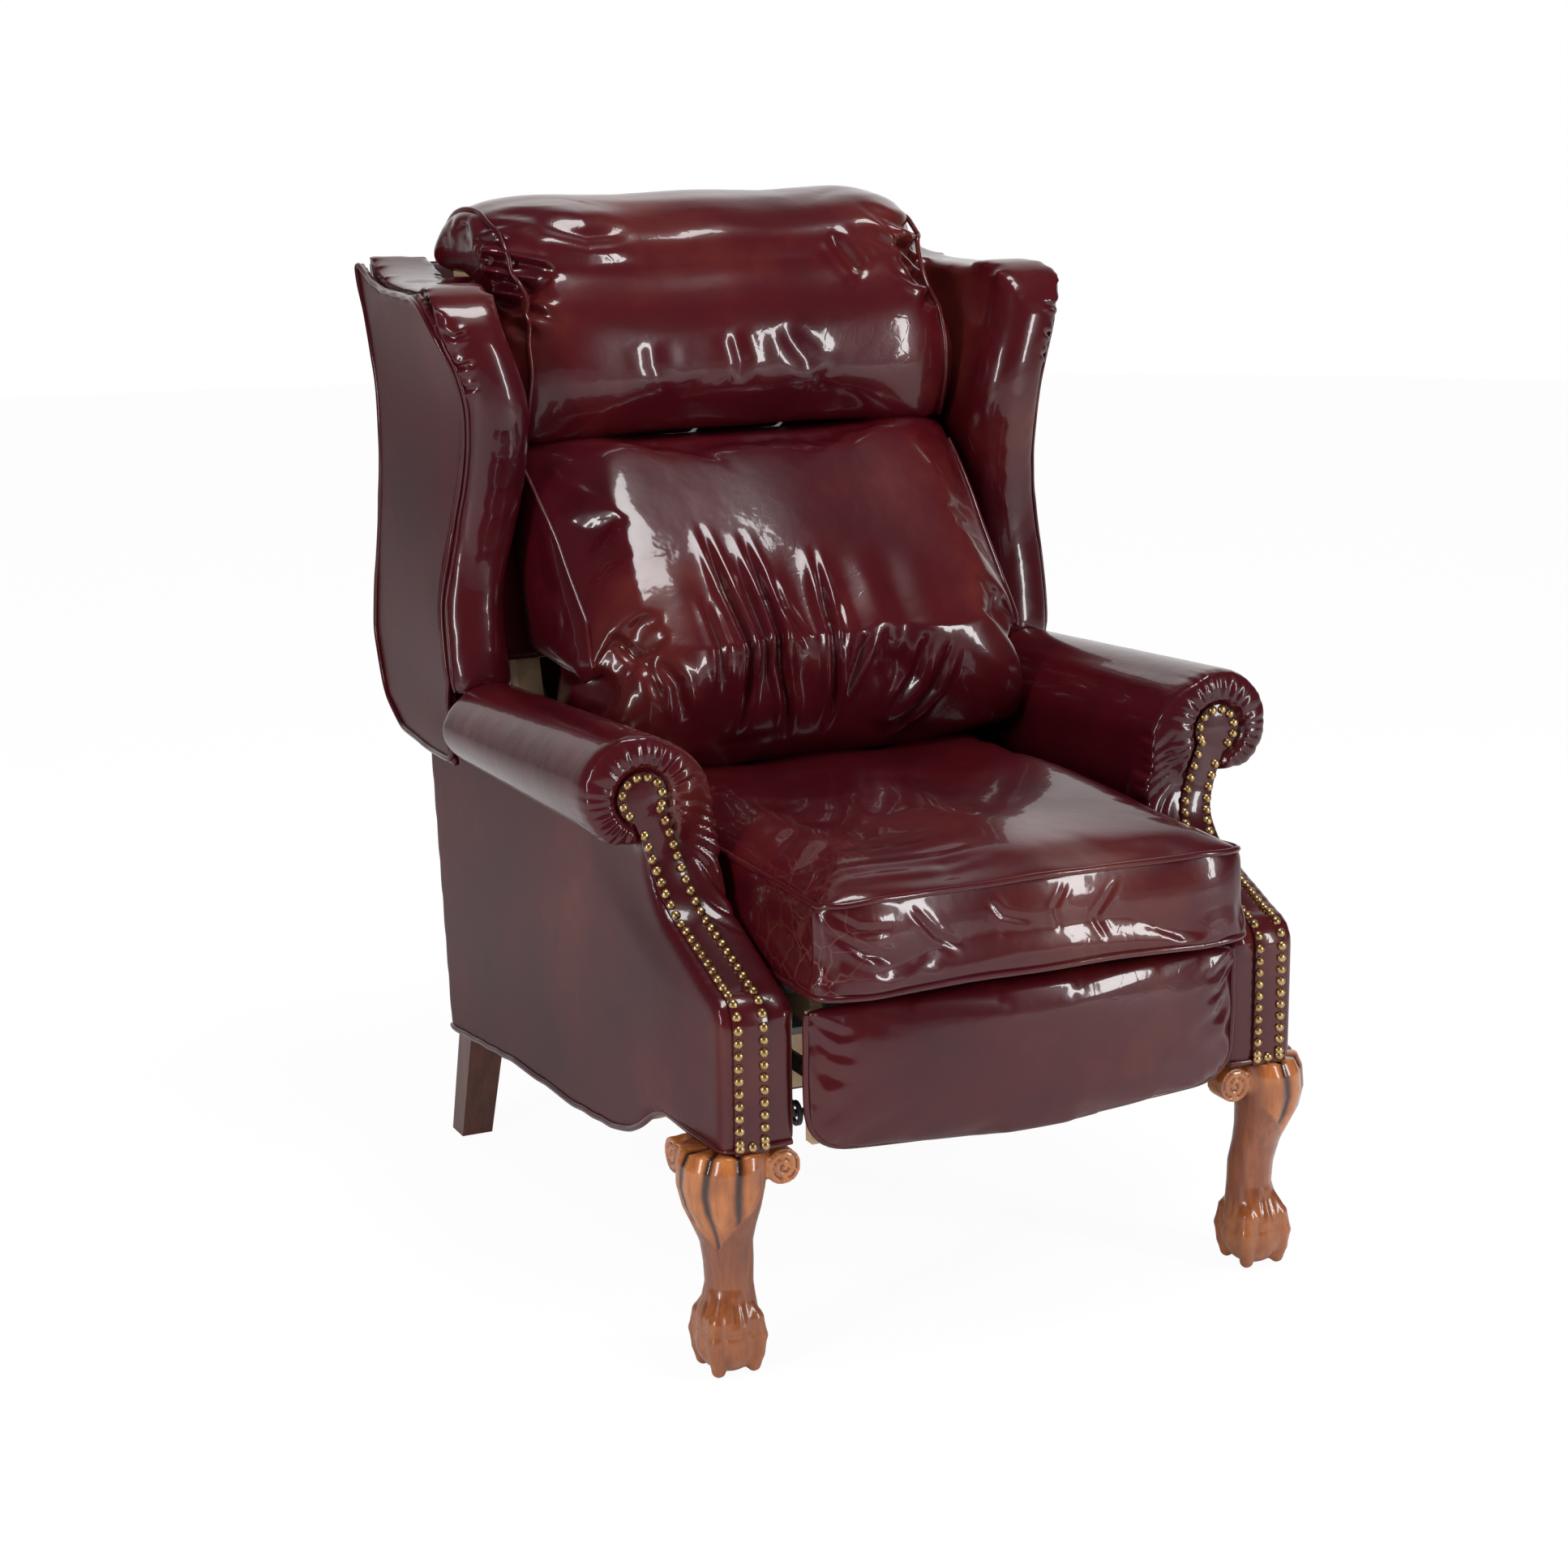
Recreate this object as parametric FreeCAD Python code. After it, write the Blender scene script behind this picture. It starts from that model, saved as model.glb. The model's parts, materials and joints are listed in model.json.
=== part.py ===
"""Wingback recliner with rolled arms, wings that go with the back, and a linked footrest.

Millimetres, +Z up, the front of the chair faces -Y. The origin is on the floor under the middle.
Every solid is one real piece. Mirrored pieces are made once for the right side (+X).
"""
import FreeCAD
import Part
import math
import os

V = FreeCAD.Vector

# Overall sizes
half_depth = 500.0
arm_half_width = 400.0
seat_gap = 0.3

# Base
side_outer = 335.0
side_leather = 9.7
side_board_thick = 25.0
board_inset = 30.0
board_lift = 9.0
base_front_z = 237.0
base_mid_z = 165.0
base_rear_z = 138.0
base_rear_y = 344.0
base_rear_slope = 0.118
base_top_z = 512.0
stretcher_thick = 22.0

# Stumps: the curved fronts of the arms
stump_inner = 249.3
stump_face_y = -449.0
stump_knee_z = 362.0
stump_neck_y = -281.0
stump_neck_z = 505.0
stump_leather = 9.0
strip_width = 27.0
strip_thick = 3.0
scroll_x = 336.0
scroll_z = 560.0
scroll_loop_radius = 22.0

# Nails
nail_dia = 9.5
nail_height = 3.0
nail_pitch = 11.9

# Arms
arm_inner = 256.3
arm_roll_radius = 60.0
arm_front_top = 625.0
arm_rear_top = 598.0
arm_rear_y = 146.0
arm_board_thick = 20.0
inside_arm_bottom = 385.0

# Legs
front_leg_x = 310.0
front_leg_y = -413.0
ball_radius = 37.0
rear_leg_side = 41.0

# Seat
cushion_half = 248.5
cushion_bottom = 392.4
cushion_edge_z = 498.0
cushion_crown = 22.0
cushion_rear_y = 90.0
deck_thick = 10.0
seat_rail_depth = 36.0
seat_rail_thick = 22.0
spring_wire = 3.6
seat_spring_count = 4
back_spring_count = 4

# Footrest
panel_half = 245.0
panel_bottom = 223.0
panel_top = 374.0
panel_back_y = -455.0
panel_edge_y = -470.0
panel_front_y = -497.0
panel_board_thick = 15.0
panel_corner = 40.0

# Mechanism plates, counted out from the middle of the chair
layer_names = ["bracket", "long", "drive", "guide", "short", "plate"]
plate_thick = 4.0
plate_step = 5.0
bracket_inner = 216.0
pin_radius = 4.0
running_gap = 0.06
link_half_width = 9.5
torque_tube_radius = 9.0
bracket_half_width = 13.0

# Footrest linkage, seen from the side, at rest
drive_pivot = (-326.0, 361.0)
pivot_gap = 46.0
link_length = 170.0
link_rest_angle = 201.0
link_swing = 150.0
lower_pin_drop = (8.4, -22.8)
bracket_top_pin = (-415.0, 302.0)
bracket_low_pin = (-424.0, 260.6)
loose_eye_clearance = 4.2

# Recline: back hinge and swing links
back_hinge = (100.0, 360.0)
swing_length = 68.0
swing_lean = 20.0
front_swing_y = -185.0
rear_swing_y = 65.0
swing_foot_z = 264.0
mech_rail_bottom = 245.0

# Back
post_foot_y = 170.0
post_foot_z = 400.0
post_slope = 0.26
post_depth = 55.0
post_width = 29.5
post_top = 1035.0
lumbar_bottom = cushion_edge_z + cushion_crown - 3.0
lumbar_heel = 432.0
lumbar_half = 277.0
lumbar_top = 842.0
lumbar_front_y = -32.0
headrest_bottom = 847.0
headrest_top = 1115.0
headrest_half = 279.0

# Wings
wing_rear_x = 364.0
wing_skin = 10.0
wing_bottom = 503.0
wing_board_inner = 325.0
wing_board_thick = 18.0
wing_inner_x = 282.0
roll_width = 66.0
pad_rise = 7.0
# height, front edge y, front edge x, rear edge y
wing_stations = [
    (503.0, 163.0, 378.0, 440.0),
    (560.0, 164.0, 381.0, 466.0),
    (605.0, 166.0, 383.0, 477.0),
    (690.0, 181.0, 382.0, 460.0),
    (780.0, 173.0, 366.0, 440.0),
    (850.0, 155.0, 359.0, 434.0),
    (910.0, 144.0, 362.0, 440.0),
    (965.0, 146.0, 378.0, 458.0),
    (1010.0, 152.0, 390.0, 480.0),
    (1062.0, 158.0, 390.0, 500.0),
]


def save(name, shapes):
    """Write one node from one solid or a list of separate solids."""
    solids = []
    for shape in shapes if isinstance(shapes, list) else [shapes]:
        solids.extend(shape.Solids)
    for solid in solids:
        if not solid.isValid() or solid.Volume <= 0:
            print("check", name, solid.isValid(), solid.Volume)
    body = solids[0] if len(solids) == 1 else Part.Compound(solids)
    body.exportStep("parts/" + name + ".step")
    print(name, len(solids), round(body.Volume))


def mirrored(shape):
    return shape.mirror(V(0, 0, 0), V(1, 0, 0))


def both(shape):
    return [shape, mirrored(shape)]


def save_group(name, shapes):
    """Write right side pieces and their mirror images as one node."""
    save(name, [s for shape in shapes for s in both(shape)])


def save_pair(name, shape):
    """Write the right piece and its mirror image as two nodes."""
    save(name + "_right", shape)
    save(name + "_left", [mirrored(s) for s in (shape if isinstance(shape, list) else [shape])])


def box(x0, x1, y0, y1, z0, z1):
    return Part.makeBox(x1 - x0, y1 - y0, z1 - z0, V(x0, y0, z0))


def side_face(edges, x):
    """Face in the plane of constant x from (y, z) runs: a point is a straight run, a triple is an arc."""
    return planar(edges, lambda p: V(x, p[0], p[1]))


def planar(runs, place):
    """Closed face: each run is an end point, or (via point, end point) for an arc."""
    made = []
    first = runs[0]
    here = first
    for run in runs[1:] + [first]:
        if isinstance(run[0], tuple):
            made.append(Part.Arc(place(here), place(run[0]), place(run[1])).toShape())
            here = run[1]
        else:
            if math.dist(here, run) > 1e-6:
                made.append(Part.LineSegment(place(here), place(run)).toShape())
            here = run
    return Part.Face(Part.Wire(made))


def side_prism(runs, x0, x1):
    return side_face(runs, x0).extrude(V(x1 - x0, 0, 0))


def bar(points, half_width, x0, x1, holes=(), hole_radius=pin_radius + running_gap):
    """Flat link with round ends through (y, z) points, and a pin hole at each listed point."""
    shape = None
    for a, b in zip(points, points[1:]):
        length = math.dist(a, b)
        uy, uz = (b[0] - a[0]) / length, (b[1] - a[1]) / length
        ny, nz = -uz * half_width, uy * half_width
        runs = [
            (a[0] + ny, a[1] + nz),
            ((a[0] - uy * half_width, a[1] - uz * half_width), (a[0] - ny, a[1] - nz)),
            (b[0] - ny, b[1] - nz),
            ((b[0] + uy * half_width, b[1] + uz * half_width), (b[0] + ny, b[1] + nz)),
        ]
        piece = side_prism(runs, x0, x1)
        shape = piece if shape is None else shape.fuse(piece)
    for hole in holes:
        shape = shape.cut(rod(hole, hole_radius, x0 - 1, x1 + 1))
    return shape.removeSplitter()


def rod(centre, radius, x0, x1):
    return Part.makeCylinder(radius, x1 - x0, V(x0, centre[0], centre[1]), V(1, 0, 0))


def polar(angle, length):
    """Step in (y, z) for an angle measured from straight ahead (-Y) towards up."""
    return (-length * math.cos(math.radians(angle)), length * math.sin(math.radians(angle)))


def add(a, b):
    return (a[0] + b[0], a[1] + b[1])


# Side profile of the base


def rear_edge_y(z):
    return base_rear_y + (z - base_rear_z) * base_rear_slope


def stump_curve(inset):
    """Runs up the curved front of the arm, from the foot to the neck, moved back by inset."""
    y0 = stump_face_y + inset
    k = stump_knee_z - inset * 0.4
    neck = stump_neck_y + inset
    return [
        (y0, k),
        ((y0 + 7, k + 21), (y0 + 29, k + 33)),
        (neck - 49, stump_neck_z - 71 - inset * 0.4),
        ((neck - 12, stump_neck_z - 42), (neck, stump_neck_z)),
    ]


def base_bottom(lift):
    """Runs along the lower edge of the side from the front to the rear, raised by lift."""
    return [
        (-308.0, base_front_z + lift),
        ((-283.0, base_front_z - 8 + lift), (-262.0, base_front_z - 26 + lift)),
        ((-225.0, base_mid_z + 27 + lift), (-170.0, base_mid_z + 14 + lift)),
        (-48.0, base_mid_z + 2 + lift),
        (104.0, base_mid_z - 2 + lift),
        (rear_edge_y(base_rear_z), base_rear_z + lift),
    ]


def side_outline(inset, top, lift=0.0):
    y_front = stump_face_y + inset
    rear = [(rear_edge_y(base_rear_z) - inset, base_rear_z + lift), (rear_edge_y(top) - inset, top)]
    front = list(reversed_curve(stump_curve(inset), (y_front, base_front_z + lift)))
    low = [(y_front, base_front_z + lift)] + base_bottom(lift)[:-1]
    return low + rear + [(stump_neck_y + inset, top)] + front


def reversed_curve(curve, last):
    """The same runs walked back from the end to the start."""
    points = [run[1] if isinstance(run[0], tuple) else run for run in curve]
    runs = []
    for index in range(len(curve) - 1, 0, -1):
        run = curve[index]
        target = points[index - 1]
        runs.append((run[0], target) if isinstance(run[0], tuple) else target)
    return [points[-1]] + runs + [last]


board_outer = side_outer - side_leather
board_inner = board_outer - side_board_thick


def make_side_boards():
    board = side_prism(side_outline(board_inset, base_top_z, board_lift), board_inner, board_outer)
    clear = box(board_inner - 1, board_outer + 1, stump_face_y, stump_neck_y + 40, 0, 900)
    save("side_boards", both(board.cut(clear)))


def make_outside_arm_panels():
    panel = side_prism(side_outline(0.0, base_top_z), board_outer, side_outer)
    save_pair("outside_arm_panel", panel)


def make_side_welts():
    whole = side_prism(side_outline(0.0, base_top_z), side_outer, side_outer + 4)
    upper = whole.copy()
    upper.translate(V(0, 0, 5))
    behind = box(side_outer - 1, side_outer + 5, stump_face_y - 5, stump_face_y + 12, 0, 900)
    band = whole.cut(upper).cut(behind)
    low = box(side_outer - 1, side_outer + 5, -500, 500, base_front_z + 6, 900)
    save("side_welts", both(band.cut(low)))


def make_stumps():
    front = side_outline(stump_leather, stump_neck_z + 7)
    block = side_prism(front, stump_inner + stump_leather, board_outer)
    keep = box(0, 500, stump_face_y, stump_neck_y + 40, base_front_z, 900)
    save("stump_blocks", both(block.common(keep)))


def make_stump_faces():
    outer = side_prism(side_outline(0.0, base_top_z), stump_inner, board_outer)
    hollow = side_outline(stump_leather, base_top_z + 1)
    inner = side_prism(hollow, stump_inner + stump_leather, board_outer + 1)
    keep = box(0, 500, stump_face_y - 1, stump_neck_y + 40, base_front_z, 900)
    save_pair("stump_facing", outer.common(keep).cut(inner))


# Nails and the strip between them


def stump_line():
    """The front curve of the stump as one wire in the plane x = 0, ended at the scroll."""
    runs = [(stump_face_y, base_front_z)] + stump_curve(0.0) + [(stump_neck_y, scroll_z)]
    made = []
    here = runs[0]
    for run in runs[1:]:
        if isinstance(run[0], tuple):
            made.append(Part.Arc(V(0, *here), V(0, *run[0]), V(0, *run[1])).toShape())
            here = run[1]
        else:
            made.append(Part.LineSegment(V(0, *here), V(0, *run)).toShape())
            here = run
    return Part.Wire(made)


def strip_centre(z):
    """Middle of the nailed strip: upright below, sweeping out to the scroll above."""
    low = stump_inner + 48.5
    rise = max(0.0, z - 400.0) / (scroll_z - 400.0)
    return low + (scroll_x - low) * rise ** 1.8


def nail_points():
    """Nail centres and outward directions up both rows and round the scroll."""
    wire = stump_line()
    count = int((wire.Length - scroll_loop_radius) / nail_pitch)
    steps = wire.discretize(Number=count * 4 + 1)
    points = []
    for index in range(0, len(steps), 4):
        here = steps[index]
        if here.z > scroll_z - scroll_loop_radius * 0.4:
            continue
        before = steps[max(0, index - 1)]
        after = steps[min(len(steps) - 1, index + 1)]
        run = after.sub(before).normalize()
        out = V(0, -run.z, run.y)
        start = here.add(V(0, 0, 7)) if index == 0 else here
        for side in (-1, 1):
            if side < 0 or here.z < scroll_z - 36:
                points.append((V(strip_centre(here.z) + side * strip_width / 2, start.y, start.z), out))
    points.append((V(strip_centre(0), stump_face_y, base_front_z + 7), V(0, -1, 0)))
    turns = 9
    for index in range(turns):
        angle = math.radians(200.0 - index * 250.0 / (turns - 1))
        x = scroll_x + scroll_loop_radius * math.cos(angle)
        z = scroll_z + scroll_loop_radius * math.sin(angle)
        points.append((V(x, stump_neck_y, z), V(0, -1, 0)))
    return points


def nail(point, out):
    """Six-sided domed head standing on the strip."""
    radius = nail_dia / 2
    seat = point.add(V(out).multiply(strip_thick * abs(out.y) + 0.3))
    cross = V(1, 0, 0)
    up = out.cross(cross)

    def ring(size, height):
        made = []
        for index in range(7):
            a = math.radians(60 * index)
            spoke = V(cross).multiply(size * math.cos(a)).add(V(up).multiply(size * math.sin(a)))
            made.append(seat.add(spoke).add(V(out).multiply(height)))
        return Part.makePolygon(made)

    return Part.makeLoft([ring(radius, 0), ring(radius * 0.5, nail_height)], True, True)


def make_nails():
    nails = [nail(point, out) for point, out in nail_points()]
    save_pair("nailheads", nails)
    print("nails a side", len(nails))


def make_strips():
    """Thin leather strip that follows the stump and ends in a round on the scroll."""
    outer = side_prism(moved_front(-strip_thick), 200, 400)
    inner = side_prism(moved_front(0.0), 199, 401)
    band = outer.cut(inner)
    half = strip_width / 2 + nail_dia / 2
    left = []
    right = []
    for index in range(9):
        z = base_front_z + (scroll_z - base_front_z) * index / 8
        left.append(V(strip_centre(z) - half, -600, z))
        right.append(V(strip_centre(z) + half, -600, z))
    plan = Part.Face(Part.makePolygon(left + list(reversed(right)) + [left[0]])).extrude(V(0, 500, 0))
    disc = Part.makeCylinder(scroll_loop_radius + nail_dia / 2, 500, V(scroll_x, -600, scroll_z), V(0, 1, 0))
    save_pair("nail_strip", band.common(plan.fuse(disc)))


def moved_front(shift):
    """Outline of a thick slab whose front is the stump curve moved forward."""
    top = scroll_z + 40
    walk = [(stump_face_y + shift, base_front_z)]
    for run in stump_curve(0.0):
        if isinstance(run[0], tuple):
            walk.append((add(run[0], (shift, 0)), add(run[1], (shift, 0))))
        else:
            walk.append(add(run, (shift, 0)))
    return walk + [(stump_neck_y + shift, top), (stump_neck_y + 20, top), (stump_neck_y + 20, base_front_z)]


# Arms


def roll_section(y, top):
    """Closed outline of the rolled arm across the chair."""
    base = base_top_z + seat_gap
    centre_x = arm_half_width - arm_roll_radius
    centre_z = arm_front_top - arm_roll_radius
    scale = (top - base) / (arm_front_top - base)

    def at(x, z):
        return V(x, y, base + (z - base) * scale)

    def on_circle(angle):
        a = math.radians(angle)
        return at(centre_x + arm_roll_radius * math.cos(a), centre_z + arm_roll_radius * math.sin(a))

    inner = at(arm_inner, centre_z - 18)
    crest = on_circle(125)
    side = at(arm_half_width, centre_z)
    under = at(arm_half_width - 34, base)
    foot = at(arm_inner, base)
    return Part.Wire([
        Part.LineSegment(foot, inner).toShape(),
        Part.Arc(inner, at(arm_inner + 15, centre_z + 24), crest).toShape(),
        Part.Arc(crest, on_circle(60), side).toShape(),
        Part.Arc(side, at(arm_half_width - 11, base + 19), under).toShape(),
        Part.LineSegment(under, foot).toShape(),
    ])


def make_arms():
    front = stump_neck_y
    ends = [roll_section(front, arm_front_top), roll_section(arm_rear_y, arm_rear_top)]
    roll = Part.makeLoft(ends, True, True)
    board = box(arm_inner + 30, board_outer + 20, front + 22, arm_rear_y - 12,
                base_top_z + seat_gap, base_top_z + seat_gap + arm_board_thick)
    save_pair("arm_roll", roll.cut(board))
    save("arm_boards", both(board))
    pad = box(arm_inner, board_inner - seat_gap, stump_neck_y + 40 + seat_gap, arm_rear_y - 10,
              inside_arm_bottom, base_top_z)
    pad = pad.makeFillet(8.0, [e for e in pad.Edges if on_line(e, arm_inner, inside_arm_bottom)])
    save_pair("inside_arm_pad", pad)


def on_line(edge, x, z):
    """True for an edge that runs front to back at this x and z."""
    return all(abs(v.X - x) < 0.01 and abs(v.Z - z) < 0.01 for v in edge.Vertexes)


# Base rails, legs and covers


def make_base_rails():
    front_y = -160.0
    rail_top = mech_rail_bottom - seat_gap
    low = base_mid_z + 20
    stretcher = box(-board_inner, board_inner, front_y, front_y + stretcher_thick, low, rail_top)
    save("front_stretcher", stretcher)
    rail_y = rear_edge_y(base_rear_z) - 30 - stretcher_thick
    rail = box(-board_inner, board_inner, rail_y, rail_y + stretcher_thick, 158, 285)
    save("rear_rail", rail)
    save("corner_blocks", both(box(board_inner - 45, board_inner, rail_y - 50, rail_y, 160, 215)))
    rear_low = 158.0
    top = [(front_y, low), (front_y + stretcher_thick, low), (rail_y - 50, rear_low),
           (rail_y + stretcher_thick, rear_low)]
    cover = [(y, z - seat_gap - 2) for y, z in top] + [(y, z - seat_gap) for y, z in reversed(top)]
    save("dust_cover", side_prism(cover, -board_inner, board_inner))


def make_rear_base_panel():
    low, high = base_rear_z + board_lift + seat_gap, 350.0
    runs = [(rear_edge_y(low) - 8, low), (rear_edge_y(low), low), (rear_edge_y(high), high),
            (rear_edge_y(high) - 8, high)]
    save("rear_base_panel", side_prism(runs, -board_outer, board_outer))


def leg_ring(x, y, z, radius, stretch=1.0):
    """Ring of a leg, longer along the outward diagonal by stretch."""
    ellipse = Part.Ellipse(V(0, 0, 0), radius * max(stretch, 1.0001), radius)
    ring = ellipse.toShape()
    ring.rotate(V(0, 0, 0), V(0, 0, 1), -45)
    ring.translate(V(x, y, z))
    return Part.Wire([ring])


def make_front_legs():
    """Cabriole leg: knee with two ears, slim ankle, claw round a ball."""
    d = math.sqrt(0.5)
    # height, radius, outward shift, stretch along the diagonal
    stations = [(58, 27, -2, 1.0), (72, 19, -8, 1.05), (92, 16.5, -12, 1.05), (125, 18.5, -8, 1.1),
                (160, 24, 2, 1.2), (195, 30, 10, 1.3), (220, 31, 10, 1.3), (base_front_z, 28, 4, 1.2)]
    rings = [leg_ring(front_leg_x + s * d, front_leg_y - s * d, z, r, k) for z, r, s, k in stations]
    shank = Part.makeLoft(rings, True, False)
    ball = Part.makeSphere(ball_radius, V(front_leg_x, front_leg_y, ball_radius - 3))
    leg = shank.fuse(ball)
    for turn in (45, 135, 225, 315):
        leg = leg.fuse(claw(turn))
    for along in ("inward", "rearward"):
        leg = leg.fuse(ear(along))
    ground = box(0, 500, -500, 0, 0, base_front_z)
    save_pair("front_leg", leg.common(ground))


def claw(turn):
    """One toe from the ankle down over the ball, with a knuckle and a nail."""
    a = math.radians(turn)
    reach = ball_radius
    shape = None
    joints = [(0.42, 68, 8.2), (0.80, 54, 7.6), (0.98, 34, 7.9), (0.92, 13, 6.5)]
    for share, z, radius in joints:
        centre = V(front_leg_x + reach * share * math.cos(a), front_leg_y + reach * share * math.sin(a), z)
        knuckle = Part.makeSphere(radius, centre)
        shape = knuckle if shape is None else shape.fuse(knuckle)
    for (s0, z0, r0), (s1, z1, r1) in zip(joints, joints[1:]):
        start = V(front_leg_x + reach * s0 * math.cos(a), front_leg_y + reach * s0 * math.sin(a), z0)
        end = V(front_leg_x + reach * s1 * math.cos(a), front_leg_y + reach * s1 * math.sin(a), z1)
        shape = shape.fuse(Part.makeCone(r0 * 0.85, r1 * 0.85, end.sub(start).Length, start, end.sub(start)))
    return shape


def ear(along):
    """Scrolled bracket beside the knee, under the rail."""
    length = 62.0
    depth = 26.0
    top = base_front_z
    profile = [(0, top), (length, top), ((length + 4, top - 12), (length - 8, top - 18)),
               ((length - 26, top - 22), (length - 34, top - 46)), (0, top - 60)]
    if along == "inward":
        face = planar(profile, lambda p: V(front_leg_x - p[0], front_leg_y - 26, p[1]))
        return face.extrude(V(0, depth, 0))
    face = planar(profile, lambda p: V(front_leg_x + 24 - depth, front_leg_y + p[0], p[1]))
    return face.extrude(V(depth, 0, 0))


def make_rear_legs():
    """Square tapered leg that rakes back to the floor."""
    outer = board_outer
    top_z = base_rear_z + board_lift
    foot_back = rear_edge_y(base_rear_z) + 34
    top_back = rear_edge_y(base_rear_z) - 8 - seat_gap

    def square(z, back, side, cut):
        points = [V(outer - side, back, z), V(outer - cut, back, z), V(outer, back - cut, z),
                  V(outer, back - side, z), V(outer - side, back - side, z)]
        return Part.makePolygon(points + [points[0]])

    top = square(top_z, top_back, rear_leg_side + 2, 2)
    foot = square(0, foot_back, rear_leg_side - 3, 2)
    leg = Part.makeLoft([foot, top], True, True)
    save_pair("rear_leg", leg)


# Mechanism


def layer(name):
    """Inner and outer x of one flat steel piece in the stack beside the seat."""
    if name == "swing":
        inner = layer("plate")[1] + 1.8
    elif name == "web":
        inner = layer("swing")[1] + 2.7
    else:
        inner = bracket_inner + layer_names.index(name) * plate_step
    return inner, inner + plate_thick


post_inner = layer("swing")[1] + 0.2
guide_pivot = (drive_pivot[0] - pivot_gap, drive_pivot[1])
knee_pin = add(drive_pivot, polar(link_rest_angle, link_length))
cross_pin = add(guide_pivot, polar(link_rest_angle, link_length))
lower_pin = add(cross_pin, lower_pin_drop)


def swing_top(foot_y):
    lean = math.radians(swing_lean)
    return (foot_y + swing_length * math.sin(lean), swing_foot_z + swing_length * math.cos(lean))


def make_footrest_links():
    long_x, drive_x, guide_x, short_x = layer("long"), layer("drive"), layer("guide"), layer("short")
    drive = bar([drive_pivot, knee_pin], link_half_width, *drive_x, holes=[drive_pivot])
    save("drive_links", both(drive.cut(rod(knee_pin, pin_radius, *drive_x))))
    tube_end = layer("bracket")[1] + 0.4
    tube = rod(knee_pin, torque_tube_radius, -tube_end, tube_end)
    save("torque_tube", tube.cut(rod(knee_pin, pin_radius, -tube_end - 1, tube_end + 1)))
    guide = bar([guide_pivot, cross_pin, lower_pin], link_half_width, *guide_x, holes=[guide_pivot])
    for centre in (cross_pin, lower_pin):
        guide = guide.cut(rod(centre, pin_radius, *guide_x))
    save("guide_links", both(guide))
    long_holes = [knee_pin, cross_pin, bracket_top_pin]
    save("long_links", both(bar([knee_pin, bracket_top_pin], link_half_width, *long_x, holes=long_holes)))
    short = bar([lower_pin, bracket_low_pin], link_half_width, *short_x, holes=[lower_pin])
    eye_radius = pin_radius + loose_eye_clearance
    short = short.fuse(rod(bracket_low_pin, eye_radius + 4.5, *short_x)).removeSplitter()
    save("short_links", both(short.cut(rod(bracket_low_pin, eye_radius, *short_x))))


def make_footrest():
    board_y = panel_back_y + panel_board_thick
    half = min(panel_half - 8, layer("short")[0] - 1)
    board = box(-half, half, panel_back_y + seat_gap, board_y, panel_bottom + 14, panel_top - 4)
    save("footrest_board", board)
    flange_y = board_y + plate_thick
    x0, x1 = layer("bracket")
    web = side_prism([(flange_y, 252), (flange_y, 330), add(bracket_top_pin, (12, 12)),
                      add(bracket_top_pin, (12, -14)), add(bracket_low_pin, (12, -10))], x0, x1)
    flange = box(x0 - 32, x1, board_y, flange_y, 248, 345)
    bracket = web.fuse(flange).removeSplitter()
    bracket = bracket.cut(rod(bracket_top_pin, pin_radius, x0 - 1, x1 + 1))
    bracket = bracket.cut(rod(bracket_low_pin, pin_radius, x0 - 1, x1 + 1))
    save("footrest_brackets", both(bracket))
    plan = planar([(-panel_half, panel_back_y), (panel_half, panel_back_y), (panel_half, panel_edge_y),
                   ((0, panel_front_y), (-panel_half, panel_edge_y))], lambda p: V(p[0], p[1], 0))
    pad = plan.extrude(V(0, 0, 500))
    r = panel_corner
    h = panel_half
    low = panel_bottom + 8
    q = r * (1 - math.sqrt(0.5))
    front = planar([(-h, panel_top), (-h, low + r), ((-h + q, low + q), (-h + r, low)),
                    ((0, panel_bottom), (h - r, low)), ((h - q, low + q), (h, low + r)), (h, panel_top)],
                   lambda p: V(p[0], -600, p[1]))
    save("footrest_pad", pad.common(front.extrude(V(0, 300, 0))))


def make_pins():
    """Pivot pins: each is held by one piece and turns in the holes of the next."""
    over = 0.6
    plate, swing = layer("plate"), layer("swing")
    footrest_pins = [rod(bracket_top_pin, pin_radius, layer("bracket")[0], layer("long")[1] + over),
                     rod(bracket_low_pin, pin_radius, layer("bracket")[0], layer("short")[1] + over)]
    save_group("footrest_pins", footrest_pins)
    seat_pins = [rod(drive_pivot, pin_radius, layer("drive")[0] - over, plate[1]),
                 rod(guide_pivot, pin_radius, layer("guide")[0] - over, plate[1])]
    for centre in (back_hinge, swing_top(front_swing_y), swing_top(rear_swing_y)):
        seat_pins.append(rod(centre, pin_radius, plate[0], swing[1] + over))
    save_group("seat_pins", seat_pins)
    feet = [(front_swing_y, swing_foot_z), (rear_swing_y, swing_foot_z)]
    save_group("base_pins", [rod(foot, pin_radius, swing[0] - over, layer("web")[1]) for foot in feet])
    save_group("guide_link_pins", [rod(lower_pin, pin_radius, layer("guide")[0], layer("short")[1] + over),
                                   rod(cross_pin, pin_radius, layer("long")[0] - 0.3, layer("guide")[1])])
    save_group("knee_pins", [rod(knee_pin, pin_radius, layer("bracket")[0] - 12, layer("drive")[1])])


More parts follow.
